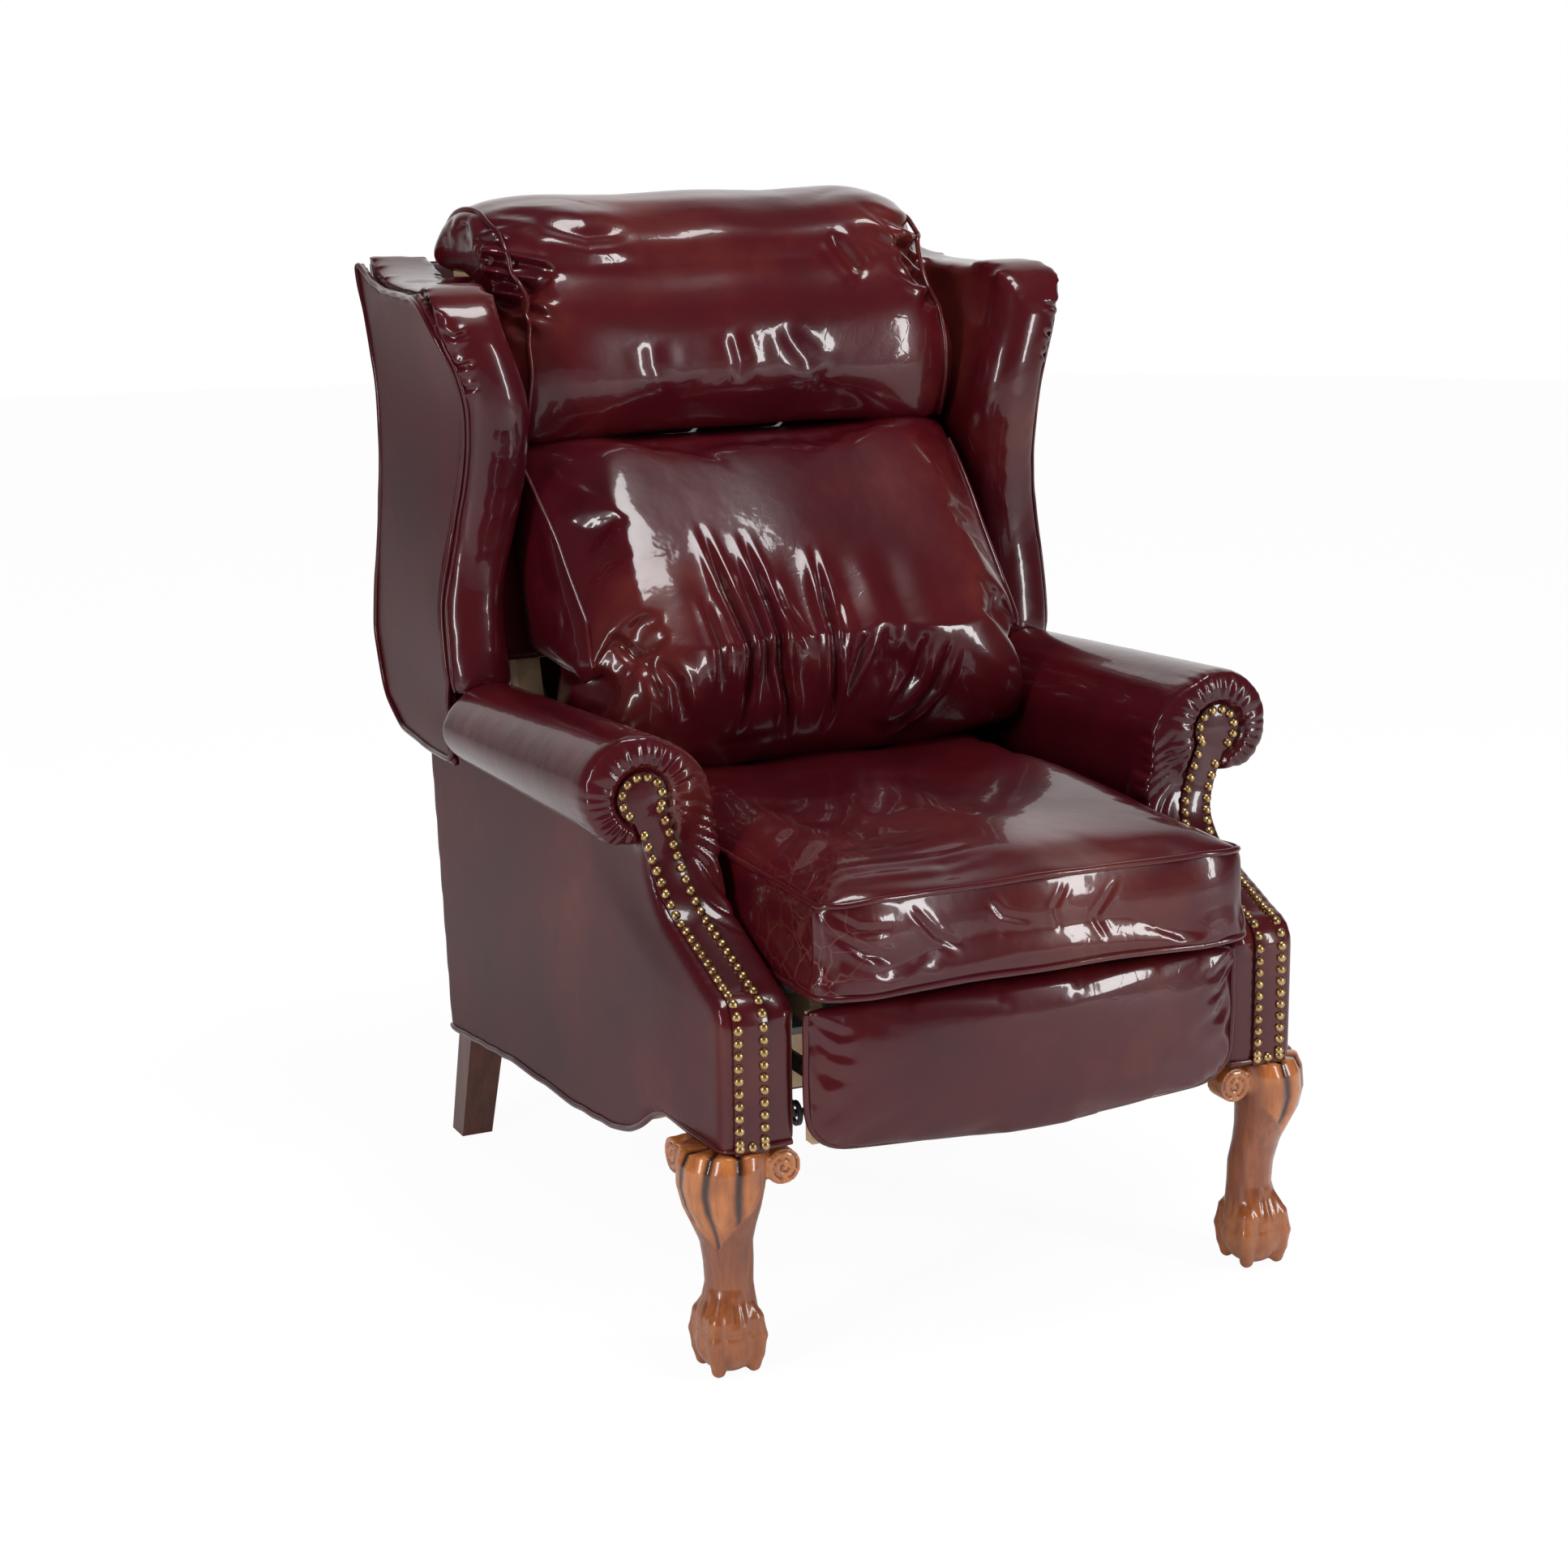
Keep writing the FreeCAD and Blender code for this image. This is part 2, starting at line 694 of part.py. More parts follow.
def make_mechanism_rails():
    """Channel on each side of the base that carries the swing links."""
    x0, x1 = layer("web")
    y0, y1 = front_swing_y - 50, rear_swing_y + 70
    top = swing_foot_z + 26
    web = box(x0, x1, y0, y1, mech_rail_bottom, top)
    for y in (front_swing_y, rear_swing_y):
        web = web.cut(rod((y, swing_foot_z), pin_radius, x0 - 1, x1 + 1))
    sole = box(x0, board_inner, y0, y1, mech_rail_bottom, mech_rail_bottom + 3)
    outer = box(board_inner - 3, board_inner, y0, y1, mech_rail_bottom, top)
    channel = web.fuse(sole).fuse(outer).removeSplitter()
    save("mechanism_rails", both(channel))
    tubes = []
    for y in (rear_swing_y + 30, rear_swing_y - 40):
        tubes.append(box(-x0, x0, y, y + 20, mech_rail_bottom, mech_rail_bottom + 20)
                     .cut(box(-x0 - 1, x0 + 1, y + 2, y + 18, mech_rail_bottom + 2, mech_rail_bottom + 18)))
    save("cross_tubes", tubes)


def make_swing_links():
    x0, x1 = layer("swing")
    for name, y in (("front_swing_links", front_swing_y), ("rear_swing_links", rear_swing_y)):
        foot = (y, swing_foot_z)
        top = swing_top(y)
        save(name, both(bar([foot, top], link_half_width, x0, x1, holes=[foot, top])))


def make_seat_plates():
    x0, x1 = layer("plate")
    top = cushion_bottom - deck_thick - 2.4
    front = guide_pivot[0] - 30
    rear = back_hinge[0] + 18
    runs = [(front, top), (front, drive_pivot[1] - 16), (drive_pivot[0] + 40, drive_pivot[1] - 16),
            (swing_top(front_swing_y)[0] - 30, swing_top(front_swing_y)[1] - 15),
            (swing_top(rear_swing_y)[0] + 14, swing_top(rear_swing_y)[1] - 15),
            (rear, back_hinge[1] - 14), (rear, top)]
    plate = side_prism(runs, x0, x1)
    for centre in (drive_pivot, guide_pivot, back_hinge, swing_top(front_swing_y), swing_top(rear_swing_y)):
        plate = plate.cut(rod(centre, pin_radius, x0 - 1, x1 + 1))
    save("seat_plates", both(plate))


# Seat


def serpentine(x, start, count, pitch, width):
    """Flat zigzag spring in the plane z = 0, running along +Y from start."""
    h = spring_wire / 2
    w = width / 2
    near = [V(x - w, start - h, 0), V(x + w, start - h, 0)]
    far = [V(x - w, start + h, 0), V(x + w, start + h, 0)]
    edges = [Part.LineSegment(*near).toShape(), Part.LineSegment(*far).toShape()]
    first_end = Part.LineSegment(near[0], far[0]).toShape()
    for index in range(count):
        side = 1 if index % 2 == 0 else -1
        y = start + index * pitch
        cx = x + side * w
        middle = y + pitch / 2
        for radius in (pitch / 2 + h, pitch / 2 - h):
            tip = V(cx + side * radius, middle, 0)
            bend = Part.Arc(V(cx, middle - radius, 0), tip, V(cx, middle + radius, 0))
            edges.append(bend.toShape())
        for step in (-h, h):
            ends = V(x - w, y + pitch + step, 0), V(x + w, y + pitch + step, 0)
            edges.append(Part.LineSegment(*ends).toShape())
    last_x = x - side * w
    last = Part.LineSegment(V(last_x, y + pitch - h, 0), V(last_x, y + pitch + h, 0)).toShape()
    wire = Part.Wire(Part.sortEdges(edges + [first_end, last])[0])
    return Part.Face(wire).extrude(V(0, 0, spring_wire))


def make_seat_frame():
    plate_inner = layer("bracket")[0] - 2
    deck_top = cushion_bottom - 0.3
    deck_bottom = deck_top - deck_thick
    rail_top = deck_bottom - spring_wire - seat_gap
    rail_low = rail_top - seat_rail_depth
    front_y0 = guide_pivot[0] - 36
    front = box(-plate_inner, plate_inner, front_y0, front_y0 + seat_rail_thick, rail_low, rail_top)
    rear_y0 = cushion_rear_y - 30
    rear = box(-plate_inner, plate_inner, rear_y0, rear_y0 + seat_rail_thick, rail_low, rail_top)
    side_x = plate_inner - seat_rail_thick
    sides = box(side_x, plate_inner, front_y0 + seat_rail_thick, rear_y0, rail_low, rail_top)
    save("seat_rails", [front, rear] + both(sides))
    springs = []
    span = rear_y0 - front_y0
    pitch = 30.0
    count = int(span / pitch)
    for index in range(seat_spring_count):
        x = -150 + index * 300 / (seat_spring_count - 1)
        spring = serpentine(x, front_y0 + seat_rail_thick / 2, count, span / count, 22.0)
        spring.translate(V(0, 0, rail_top))
        springs.append(spring)
    save("seat_springs", springs)
    deck = box(-cushion_half + 1, cushion_half - 1, front_y0 - 12, cushion_rear_y, deck_bottom, deck_top)
    save("seat_deck", deck)
    hangers = []
    between_pivots = (drive_pivot[0] + guide_pivot[0]) / 2 - 10
    for y in (between_pivots, -150.0, rear_y0 - 24):
        hangers.append(box(plate_inner, layer("plate")[0], y, y + 20, rail_top - 4.5, rail_top))
    save("seat_hangers", [s for hanger in hangers for s in both(hanger)])


def cushion_section(x, front, rear, low, edge, crown, bulge):
    """Closed outline across one station of a cushion, in the plane of constant x."""
    middle = (front + rear) / 2
    a, b, c, d = V(x, front, low), V(x, front, edge), V(x, rear, edge), V(x, rear, low)
    return Part.Wire([
        Part.Arc(a, V(x, front - bulge, (low + edge) / 2), b).toShape(),
        Part.Arc(b, V(x, middle, crown), c).toShape(),
        Part.Arc(c, V(x, rear + bulge * 0.4, (low + edge) / 2), d).toShape(),
        Part.LineSegment(d, a).toShape(),
    ])


def make_seat_cushion():
    low = cushion_bottom
    front = -half_depth + 10
    rear = cushion_rear_y - 4
    stations = [(-cushion_half, 12, 8, 3), (-cushion_half + 14, 4, 3, 12), (-130, 1, 1, 18),
                (0, 0, 0, cushion_crown)]
    stations += [(-x, f, z, c) for x, f, z, c in reversed(stations[:-1])]
    rings = []
    for x, f, z, c in stations:
        edge = cushion_edge_z - z
        rings.append(cushion_section(x, front + f, rear - f, low, edge, edge + c, 8 - f * 0.4))
    save("seat_cushion", Part.makeLoft(rings, True, False))


# Back


def post_y(z):
    return post_foot_y + (z - post_foot_z) * post_slope


def make_back_frame():
    x0 = post_inner
    x1 = x0 + post_width
    low = post_foot_z - 10
    runs = [(post_y(low), low), (post_y(low) + post_depth, low), (post_y(post_top) + post_depth, post_top),
            (post_y(post_top), post_top)]
    save("back_posts", both(side_prism(runs, x0, x1)))
    rails = []
    middle_z = (post_foot_z + post_top) / 2 - 28
    for z0, z1, half in ((post_foot_z + 2, post_foot_z + 50, layer("swing")[0]), (middle_z, middle_z + 45, x0),
                         (post_top - 50, post_top - 5, x0)):
        outline = [(post_y(z0), z0), (post_y(z0) + 24, z0), (post_y(z1) + 24, z1), (post_y(z1), z1)]
        rails.append(side_prism(outline, -half, half))
    for spacer in wing_spacers():
        rails.extend(both(spacer))
    save("back_rails", rails)
    springs = []
    tilt = math.degrees(math.atan(post_slope))
    start, end = post_foot_z + 25, post_top - 27
    span = (end - start) / math.cos(math.radians(tilt))
    pitch = 42.0
    count = int(span / pitch)
    for index in range(back_spring_count):
        x = -165 + index * 330 / (back_spring_count - 1)
        spring = serpentine(x, 0.0, count, span / count, 30.0)
        spring.rotate(V(0, 0, 0), V(1, 0, 0), 90 - tilt)
        spring.translate(V(0, post_y(start) - 0.4, start))
        springs.append(spring)
    save("back_springs", springs)


def wing_spacers():
    """Blocks that join the posts to the wing boards on the right side."""
    blocks = []
    for z0, z1 in ((690, 735), (950, 1000)):
        outline = [(post_y(z0) + 5, z0), (post_y(z0) + 45, z0), (post_y(z1) + 45, z1), (post_y(z1) + 5, z1)]
        blocks.append(side_prism(outline, post_inner + post_width, wing_board_inner))
    return blocks


def make_back_brackets():
    x0, x1 = layer("swing")
    bend = (post_y(400) + 10, 386.0)
    top = (post_y(560) + 16, 560.0)
    plate = bar([back_hinge, bend, top], bracket_half_width, x0, x1, holes=[back_hinge])
    save("back_brackets", both(plate))


def make_lumbar():
    """Lumbar pad: full below, tapering up to the headrest, with a heel behind the seat cushion."""
    rear_gap = spring_wire + 1.2

    def ring(x, pull, lift):
        z0, z1 = lumbar_bottom + lift, lumbar_top - lift
        heel = lumbar_heel + lift
        front = lumbar_front_y + pull
        heel_y = cushion_rear_y + 12
        a, b = V(x, post_y(heel) - rear_gap, heel), V(x, heel_y, heel)
        c, d = V(x, heel_y, z0), V(x, front + 20, z0)
        e = V(x, front + 22, z0 + 110)
        f, g = V(x, post_y(z1) - 75 + pull * 0.3, z1), V(x, post_y(z1) - rear_gap, z1)
        return Part.Wire([
            Part.LineSegment(a, b).toShape(),
            Part.LineSegment(b, c).toShape(),
            Part.LineSegment(c, d).toShape(),
            Part.Arc(d, V(x, front - 2, z0 + 45), e).toShape(),
            Part.Arc(e, V(x, (e.y + f.y) / 2 - 12, (e.z + f.z) / 2), f).toShape(),
            Part.LineSegment(f, g).toShape(),
            Part.LineSegment(g, a).toShape(),
        ])

    half = lumbar_half
    rings = [ring(-half, 60, 10), ring(-half + 22, 28, 2), ring(-110, 6, 0), ring(0, 0, 0),
             ring(110, 6, 0), ring(half - 22, 28, 2), ring(half, 60, 10)]
    pad = Part.makeLoft(rings, True, False)
    arms_top = arm_rear_top + 16
    beside = box(cushion_half - 3, half + 5, lumbar_front_y - 30, 400, lumbar_heel - 20, arms_top)
    save("lumbar_pad", pad.cut(beside).cut(mirrored(beside)))


def make_headrest():
    """Headrest roll: hangs in front of the posts and folds over the top rail."""
    rear_gap = spring_wire + 1.2

    def ring(x, pull):
        z0, z1 = headrest_bottom + pull * 0.5, headrest_top - pull
        rear = 452.0 - pull
        lip = post_top + 2.0
        a = V(x, post_y(z0) - rear_gap, z0)
        b = V(x, post_y(z0) - 82 + pull, z0)
        c = V(x, 222 + pull, z1 - 75)
        d = V(x, 318, z1)
        e = V(x, rear, z1 - 55)
        f = V(x, rear - 8, lip)
        g = V(x, post_y(lip) - rear_gap, lip)
        return Part.Wire([
            Part.LineSegment(a, b).toShape(),
            Part.Arc(b, V(x, 182 + pull, z0 + 80), c).toShape(),
            Part.Arc(c, V(x, 254 + pull * 0.5, z1 - 18), d).toShape(),
            Part.Arc(d, V(x, 400 - pull * 0.5, z1 - 10), e).toShape(),
            Part.LineSegment(e, f).toShape(),
            Part.LineSegment(f, g).toShape(),
            Part.LineSegment(g, a).toShape(),
        ])

    half = headrest_half
    rings = [ring(-half, 26), ring(-half + 24, 8), ring(-120, 1), ring(0, 0), ring(120, 1),
             ring(half - 24, 8), ring(half, 26)]
    save("headrest_roll", Part.makeLoft(rings, True, False))


# Wings


# Side outline of the whole wing: rounded front top, dipped top edge and rounded lower rear corner
wing_trim = [
    (120, wing_bottom),
    (372, wing_bottom),
    ((430, wing_bottom + 22), (478, 600)),
    (508, 640),
    (530, 1052),
    (492, 1046),
    ((410, 1026), (330, 1022)),
    (250, 1021),
    ((170, 1012), (141, 965)),
    (100, 900),
]


def make_wings():
    def skin(z, yf, xf, yr):
        rear_in = wing_rear_x - wing_skin
        points = [V(wing_rear_x, yr, z), V(xf, yf, z), V(xf - wing_skin, yf + 1, z), V(rear_in, yr - 1, z)]
        return Part.makePolygon(points + [points[0]])

    def padded(z, yf, xf, yr):
        outer = xf - wing_skin - seat_gap
        a = V(wing_rear_x - wing_skin - seat_gap, yr - 12, z)
        b = V(outer, yf - 2, z)
        c = V(outer - roll_width, yf + 30, z)
        d = V(wing_inner_x, yr - 30, z)
        return Part.Wire([
            Part.LineSegment(a, b).toShape(),
            Part.Arc(b, V(outer - roll_width * 0.4, yf - 20, z), c).toShape(),
            Part.LineSegment(c, d).toShape(),
            Part.LineSegment(d, a).toShape(),
        ])

    trim = side_prism(wing_trim, 200, 450)
    panel = Part.makeLoft([skin(*s) for s in wing_stations], True, False).common(trim)
    save_pair("outside_wing_panel", panel)
    runs = [(190, 600), (335, 655), (405, 665), (430, 700), (408, 850), (440, 980), (440, 1002),
            (215, 996), (185, 960), (178, 880), (205, 760), (208, 650)]
    board = side_prism(runs, wing_board_inner, wing_board_inner + wing_board_thick)
    save("wing_boards", both(board))
    pad_trim = trim.copy()
    pad_trim.translate(V(0, -14, pad_rise))
    pad = Part.makeLoft([padded(*s) for s in wing_stations], True, False)
    clear_y, clear_z = arm_rear_y + 1.5, arm_rear_top + 6
    above_arm = [(clear_y, 585), (165, 585), (335, 648), (400, 660), (600, 664), (600, 1100), (100, 1100),
                 (100, clear_z), (clear_y, clear_z)]
    soft = side_prism(above_arm, 200, 450)
    pad = pad.common(pad_trim).common(soft).cut(board)
    for spacer in wing_spacers():
        pad = pad.cut(spacer)
    save_pair("wing_pad", pad)


def make_outside_back():
    """Curved panel between the rear edges of the wings."""
    points = [V(0, yr, z) for z, yf, xf, yr in wing_stations[1:-1]]
    points = [V(0, 408, wing_bottom + 4), V(0, 446, wing_bottom + 34)] + points[1:] + [V(0, 493, 1040)]
    curve = Part.BSplineCurve()
    curve.interpolate([p.sub(V(0, 3, 0)) for p in points])
    back = Part.BSplineCurve()
    back.interpolate([p.sub(V(0, 9, 0)) for p in points])
    ends = [Part.LineSegment(curve.StartPoint, back.StartPoint).toShape(),
            Part.LineSegment(curve.EndPoint, back.EndPoint).toShape()]
    wire = Part.Wire(Part.sortEdges([curve.toShape(), back.toShape()] + ends)[0])
    half = wing_rear_x - wing_skin - 0.4
    panel = Part.Face(wire).extrude(V(2 * half, 0, 0))
    panel.translate(V(-half, 0, 0))
    save("outside_back_panel", panel)


def main():
    os.makedirs("parts", exist_ok=True)
    make_side_boards()
    make_outside_arm_panels()
    make_side_welts()
    make_stumps()
    make_stump_faces()
    make_strips()
    make_nails()
    make_arms()
    make_base_rails()
    make_rear_base_panel()
    make_front_legs()
    make_rear_legs()
    make_footrest_links()
    make_footrest()
    make_pins()
    make_mechanism_rails()
    make_swing_links()
    make_seat_plates()
    make_seat_frame()
    make_seat_cushion()
    make_back_frame()
    make_back_brackets()
    make_lumbar()
    make_headrest()
    make_wings()
    make_outside_back()


main()
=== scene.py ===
# %% [markdown]
# A wingback recliner in glazed oxblood leather. The imported CAD model is the fixed
# frame: every piece made here sits where a CAD solid sits and rides on the same body.
# We load it first.
# %% Load the frame
import json
import math
import bmesh
import bpy
import numpy as np
from mathutils import Matrix, Vector
from mathutils.bvhtree import BVHTree


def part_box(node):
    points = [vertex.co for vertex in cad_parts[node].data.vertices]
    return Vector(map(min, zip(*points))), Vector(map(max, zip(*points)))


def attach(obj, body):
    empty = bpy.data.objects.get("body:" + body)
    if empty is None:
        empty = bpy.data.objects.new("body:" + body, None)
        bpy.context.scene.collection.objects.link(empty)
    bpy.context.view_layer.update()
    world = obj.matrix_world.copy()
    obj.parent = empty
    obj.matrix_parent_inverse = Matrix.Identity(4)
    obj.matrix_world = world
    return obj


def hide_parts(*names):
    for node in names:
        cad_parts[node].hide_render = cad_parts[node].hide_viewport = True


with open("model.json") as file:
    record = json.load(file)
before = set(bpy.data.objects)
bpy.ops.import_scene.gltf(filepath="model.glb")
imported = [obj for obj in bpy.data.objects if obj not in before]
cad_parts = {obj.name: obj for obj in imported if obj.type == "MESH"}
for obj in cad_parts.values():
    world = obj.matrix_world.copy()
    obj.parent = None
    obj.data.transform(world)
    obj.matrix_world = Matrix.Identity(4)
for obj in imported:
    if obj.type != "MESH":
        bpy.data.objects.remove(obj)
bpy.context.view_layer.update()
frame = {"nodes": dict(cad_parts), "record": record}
nodes = frame["nodes"]
scene = bpy.context.scene
print("nodes", len(nodes))

# %% [markdown]
# The camera stands where the photographer stood, found from the edges that mirror each
# other on the chair. It looks slightly down, with a longer lens. A camera looks along its
# own -Z, so its axes are the right and up directions and the reverse of the view.
# %% Camera
yaw, pitch, roll = math.radians(25.08), math.radians(13.28), math.radians(-0.66)
eye = Vector((-1.446, -2.987, 1.279))
ahead = Vector((math.sin(yaw) * math.cos(pitch), math.cos(yaw) * math.cos(pitch), -math.sin(pitch)))
level_right = Vector((math.cos(yaw), -math.sin(yaw), 0.0))
level_up = level_right.cross(ahead)
right = level_right * math.cos(roll) + level_up * math.sin(roll)
up = level_up * math.cos(roll) - level_right * math.sin(roll)
lens = bpy.data.cameras.new("camera")
lens.sensor_width = 36.0
lens.lens = 69.75  # millimetres
lens.shift_y = -0.003
camera = bpy.data.objects.new("camera", lens)
axes = Matrix((right, up, -ahead)).transposed().to_4x4()
camera.matrix_world = Matrix.Translation(eye) @ axes
scene.collection.objects.link(camera)
scene.camera = camera
scene.view_settings.view_transform = "Standard"

# %% [markdown]
# Plain studio light: one large softbox high on the left, one on the right and one above.
# Glazed leather shows them as bright patches, so their size and place matter more than
# their power. The world gives the level in the shadows. What the camera sees behind the
# chair is white, and what the gloss sees is pale behind the chair and dimmer in front.
# %% Lights


def softbox(name, place, aim, width, height, watts):
    light = bpy.data.lights.new(name, "AREA")
    light.shape = "RECTANGLE"
    light.size = width
    light.size_y = height
    light.energy = watts
    lamp = bpy.data.objects.new(name, light)
    lamp.location = place
    lamp.rotation_euler = (Vector(aim) - Vector(place)).to_track_quat("-Z", "Y").to_euler()
    scene.collection.objects.link(lamp)


middle = (0.0, 0.0, 0.65)
strip_width, strip_height, strip_watts = 0.32, 1.7, 45
softbox("softbox_left", (-2.9, -1.5, 1.35), middle, strip_width, strip_height, strip_watts)
softbox("softbox_right", (1.9, -2.8, 1.25), middle, strip_width, strip_height, strip_watts)
softbox("softbox_above", (0.3, -0.6, 3.4), middle, 1.2, 0.8, 50)

view_direction = (0.42, 0.90, 0.10)
turning_pale, fully_pale = 0.60, 0.92  # cosine of the angle to the view direction
dim_level, pale_level, shadow_level = 0.07, 1.0, 0.45
world = bpy.data.worlds.new("studio")
scene.world = world
world.use_nodes = True
links = world.node_tree.links
sky = world.node_tree.nodes
sky.clear()
path = sky.new("ShaderNodeLightPath")
where = sky.new("ShaderNodeTexCoord")
along_view = sky.new("ShaderNodeVectorMath")
along_view.operation = "DOT_PRODUCT"
along_view.inputs[1].default_value = view_direction
links.new(where.outputs["Generated"], along_view.inputs[0])
behind = sky.new("ShaderNodeMapRange")
for key, value in (("From Min", turning_pale), ("From Max", fully_pale), ("To Min", dim_level),
                   ("To Max", pale_level)):
    behind.inputs[key].default_value = value
links.new(along_view.outputs["Value"], behind.inputs["Value"])
seen = sky.new("ShaderNodeMath")
seen.operation = "MAXIMUM"
links.new(path.outputs["Is Camera Ray"], seen.inputs[0])
links.new(path.outputs["Is Transmission Ray"], seen.inputs[1])
gloss = sky.new("ShaderNodeBackground")
links.new(behind.outputs[0], gloss.inputs["Strength"])
plain = sky.new("ShaderNodeBackground")
plain.inputs["Strength"].default_value = shadow_level
white = sky.new("ShaderNodeBackground")
for background in (gloss, plain, white):
    background.inputs["Color"].default_value = (1, 1, 1, 1)
by_gloss = sky.new("ShaderNodeMixShader")
links.new(path.outputs["Is Glossy Ray"], by_gloss.inputs[0])
links.new(plain.outputs[0], by_gloss.inputs[1])
links.new(gloss.outputs[0], by_gloss.inputs[2])
by_camera = sky.new("ShaderNodeMixShader")
links.new(seen.outputs[0], by_camera.inputs[0])
links.new(by_gloss.outputs[0], by_camera.inputs[1])
links.new(white.outputs[0], by_camera.inputs[2])
out = sky.new("ShaderNodeOutputWorld")
links.new(by_camera.outputs[0], out.inputs["Surface"])

# %% [markdown]
# Materials are small node trees. A helper makes a new material with its shader and gives
# back a function that adds nodes, so that each finish below reads as a short recipe.
# %% Material helpers


class Finish:
    """A material under construction, with its shader and its object coordinates."""

    def __init__(self, name, roughness, metallic=0.0):
        self.material = bpy.data.materials.new(name)
        self.material.use_nodes = True
        self.tree = self.material.node_tree
        self.shader = self.tree.nodes["Principled BSDF"]
        self.shader.inputs["Roughness"].default_value = roughness
        self.shader.inputs["Metallic"].default_value = metallic
        self.place = self.tree.nodes.new("ShaderNodeTexCoord").outputs["Object"]

    def add(self, kind, **inputs):
        node = self.tree.nodes.new("ShaderNode" + kind)
        for key, value in inputs.items():
            self.put(node, key.replace("_", " "), value)
        return node

    def put(self, node, key, value):
        socket = node.inputs[key]
        if isinstance(value, bpy.types.NodeSocket):
            self.tree.links.new(value, socket)
        else:
            socket.default_value = value

    def noise(self, scale, detail=4.0, roughness=0.5, vector=None):
        node = self.add("TexNoise", Scale=scale, Detail=detail, Roughness=roughness)
        self.tree.links.new(vector or self.place, node.inputs["Vector"])
        return node.outputs["Fac"]

    def stretch(self, scale):
        return self.add("Mapping", Vector=self.place, Scale=scale).outputs[0]

    def ramp(self, value, *stops):
        node = self.add("ValToRGB", Fac=value)
        ramp = node.color_ramp
        while len(ramp.elements) < len(stops):
            ramp.elements.new(0.5)
        for element, (position, colour) in zip(ramp.elements, stops):
            element.position = position
            element.color = (*colour, 1.0)
        return node.outputs["Color"]

    def spread(self, value, low, high, to_low, to_high):
        node = self.add("MapRange", Value=value)
        self.put(node, "From Min", low)
        self.put(node, "From Max", high)
        self.put(node, "To Min", to_low)
        self.put(node, "To Max", to_high)
        return node.outputs[0]

    def maths(self, operation, a, b):
        node = self.add("Math")
        node.operation = operation
        self.put(node, 0, a)
        self.put(node, 1, b)
        return node.outputs[0]

    def bump(self, height, strength, distance, under=None):
        node = self.add("Bump", Height=height, Strength=strength, Distance=distance)
        if under is not None:
            self.tree.links.new(under, node.inputs["Normal"])
        return node.outputs["Normal"]

    def attribute(self, name):
        node = self.add("Attribute")
        node.attribute_name = name
        return node.outputs["Fac"]

    def mixed(self, share, one, other):
        node = self.add("Mix")
        node.data_type = "RGBA"
        for key, value in ((0, share), (6, one), (7, other)):
            self.put(node, key, value)
        return node.outputs[2]

    def wear(self, key, value):
        self.put(self.shader, key, value)


def wine_leather(name):
    """Glazed oxblood leather.

    Two mesh attributes vary it: dull for outside panels, worn for scratches.
    """
    f = Finish(name, 0.3)
    dull, worn = f.attribute("dull"), f.attribute("worn")
    colour = f.ramp(f.noise(3.2, 5.0, 0.6), (0.30, (0.030, 0.0014, 0.0042)),
                    (0.55, (0.060, 0.0032, 0.0062)),
                    (0.80, (0.125, 0.022, 0.014)))
    cells = f.add("TexVoronoi", Scale=34.0)
    cells.feature = "DISTANCE_TO_EDGE"
    bent = f.add("VectorMath")
    bent.operation = "MULTIPLY_ADD"
    f.put(bent, 0, f.place)
    f.put(bent, 1, (1.0, 1.0, 1.0))
    f.put(bent, 2, f.maths("MULTIPLY", f.noise(14.0, 3.0), 0.05))
    f.put(cells, "Vector", bent.outputs[0])
    patches = f.spread(f.noise(5.0, 2.0), 0.45, 0.7, 0.0, 1.0)
    lines = f.spread(cells.outputs["Distance"], 0.0, 0.045, 1.0, 0.0)
    scratched = f.maths("MULTIPLY", f.maths("MULTIPLY", lines, patches), worn)
    f.wear("Base Color", f.mixed(f.maths("MULTIPLY", scratched, 0.35), colour, (0.30, 0.12, 0.09, 1.0)))
    f.wear("Specular IOR Level", 0.2)
    f.wear("Coat Weight", f.spread(dull, 0.0, 1.0, 0.5, 0.10))
    f.wear("Coat Roughness", 0.06)
    f.wear("Roughness", f.spread(dull, 0.0, 1.0, 0.28, 0.45))
    web = f.maths("MULTIPLY", f.maths("MULTIPLY", lines, patches), f.spread(worn, 0.0, 1.0, -0.15, -0.8))
    smooth = f.spread(dull, 0.0, 1.0, 1.0, 0.12)
    ripple = f.bump(f.maths("MULTIPLY", f.noise(24.0, 3.0), smooth), 0.15, 0.004, f.bump(web, 0.5, 0.0006))
    f.wear("Normal", f.bump(f.noise(900.0, 2.0), 0.10, 0.0002, ripple))
    f.put(f.shader, "Coat Normal", ripple)
    return f.material


def brass():
    """Old brass: brown in the hollows, golden where it is rubbed."""
    f = Finish("antique_brass", 0.34, 1.0)
    f.wear("Base Color", f.ramp(f.noise(160.0), (0.3, (0.24, 0.14, 0.06)), (0.7, (0.62, 0.42, 0.20))))
    f.wear("Normal", f.bump(f.noise(700.0), 0.15, 0.0003))
    return f.material


def wood(name, dark, light, grain=(60.0, 60.0, 6.0), gloss=0.3):
    """Polished wood: fine grain along the piece and slow changes of tone."""
    f = Finish(name, gloss)
    lines = f.noise(1.0, 6.0, 0.65, f.stretch(grain))
    f.wear("Base Color", f.ramp(lines, (0.3, dark), (0.7, light)))
    f.wear("Coat Weight", 0.25)
    f.wear("Coat Roughness", 0.15)
    f.wear("Normal", f.bump(lines, 0.12, 0.0006))
    return f.material


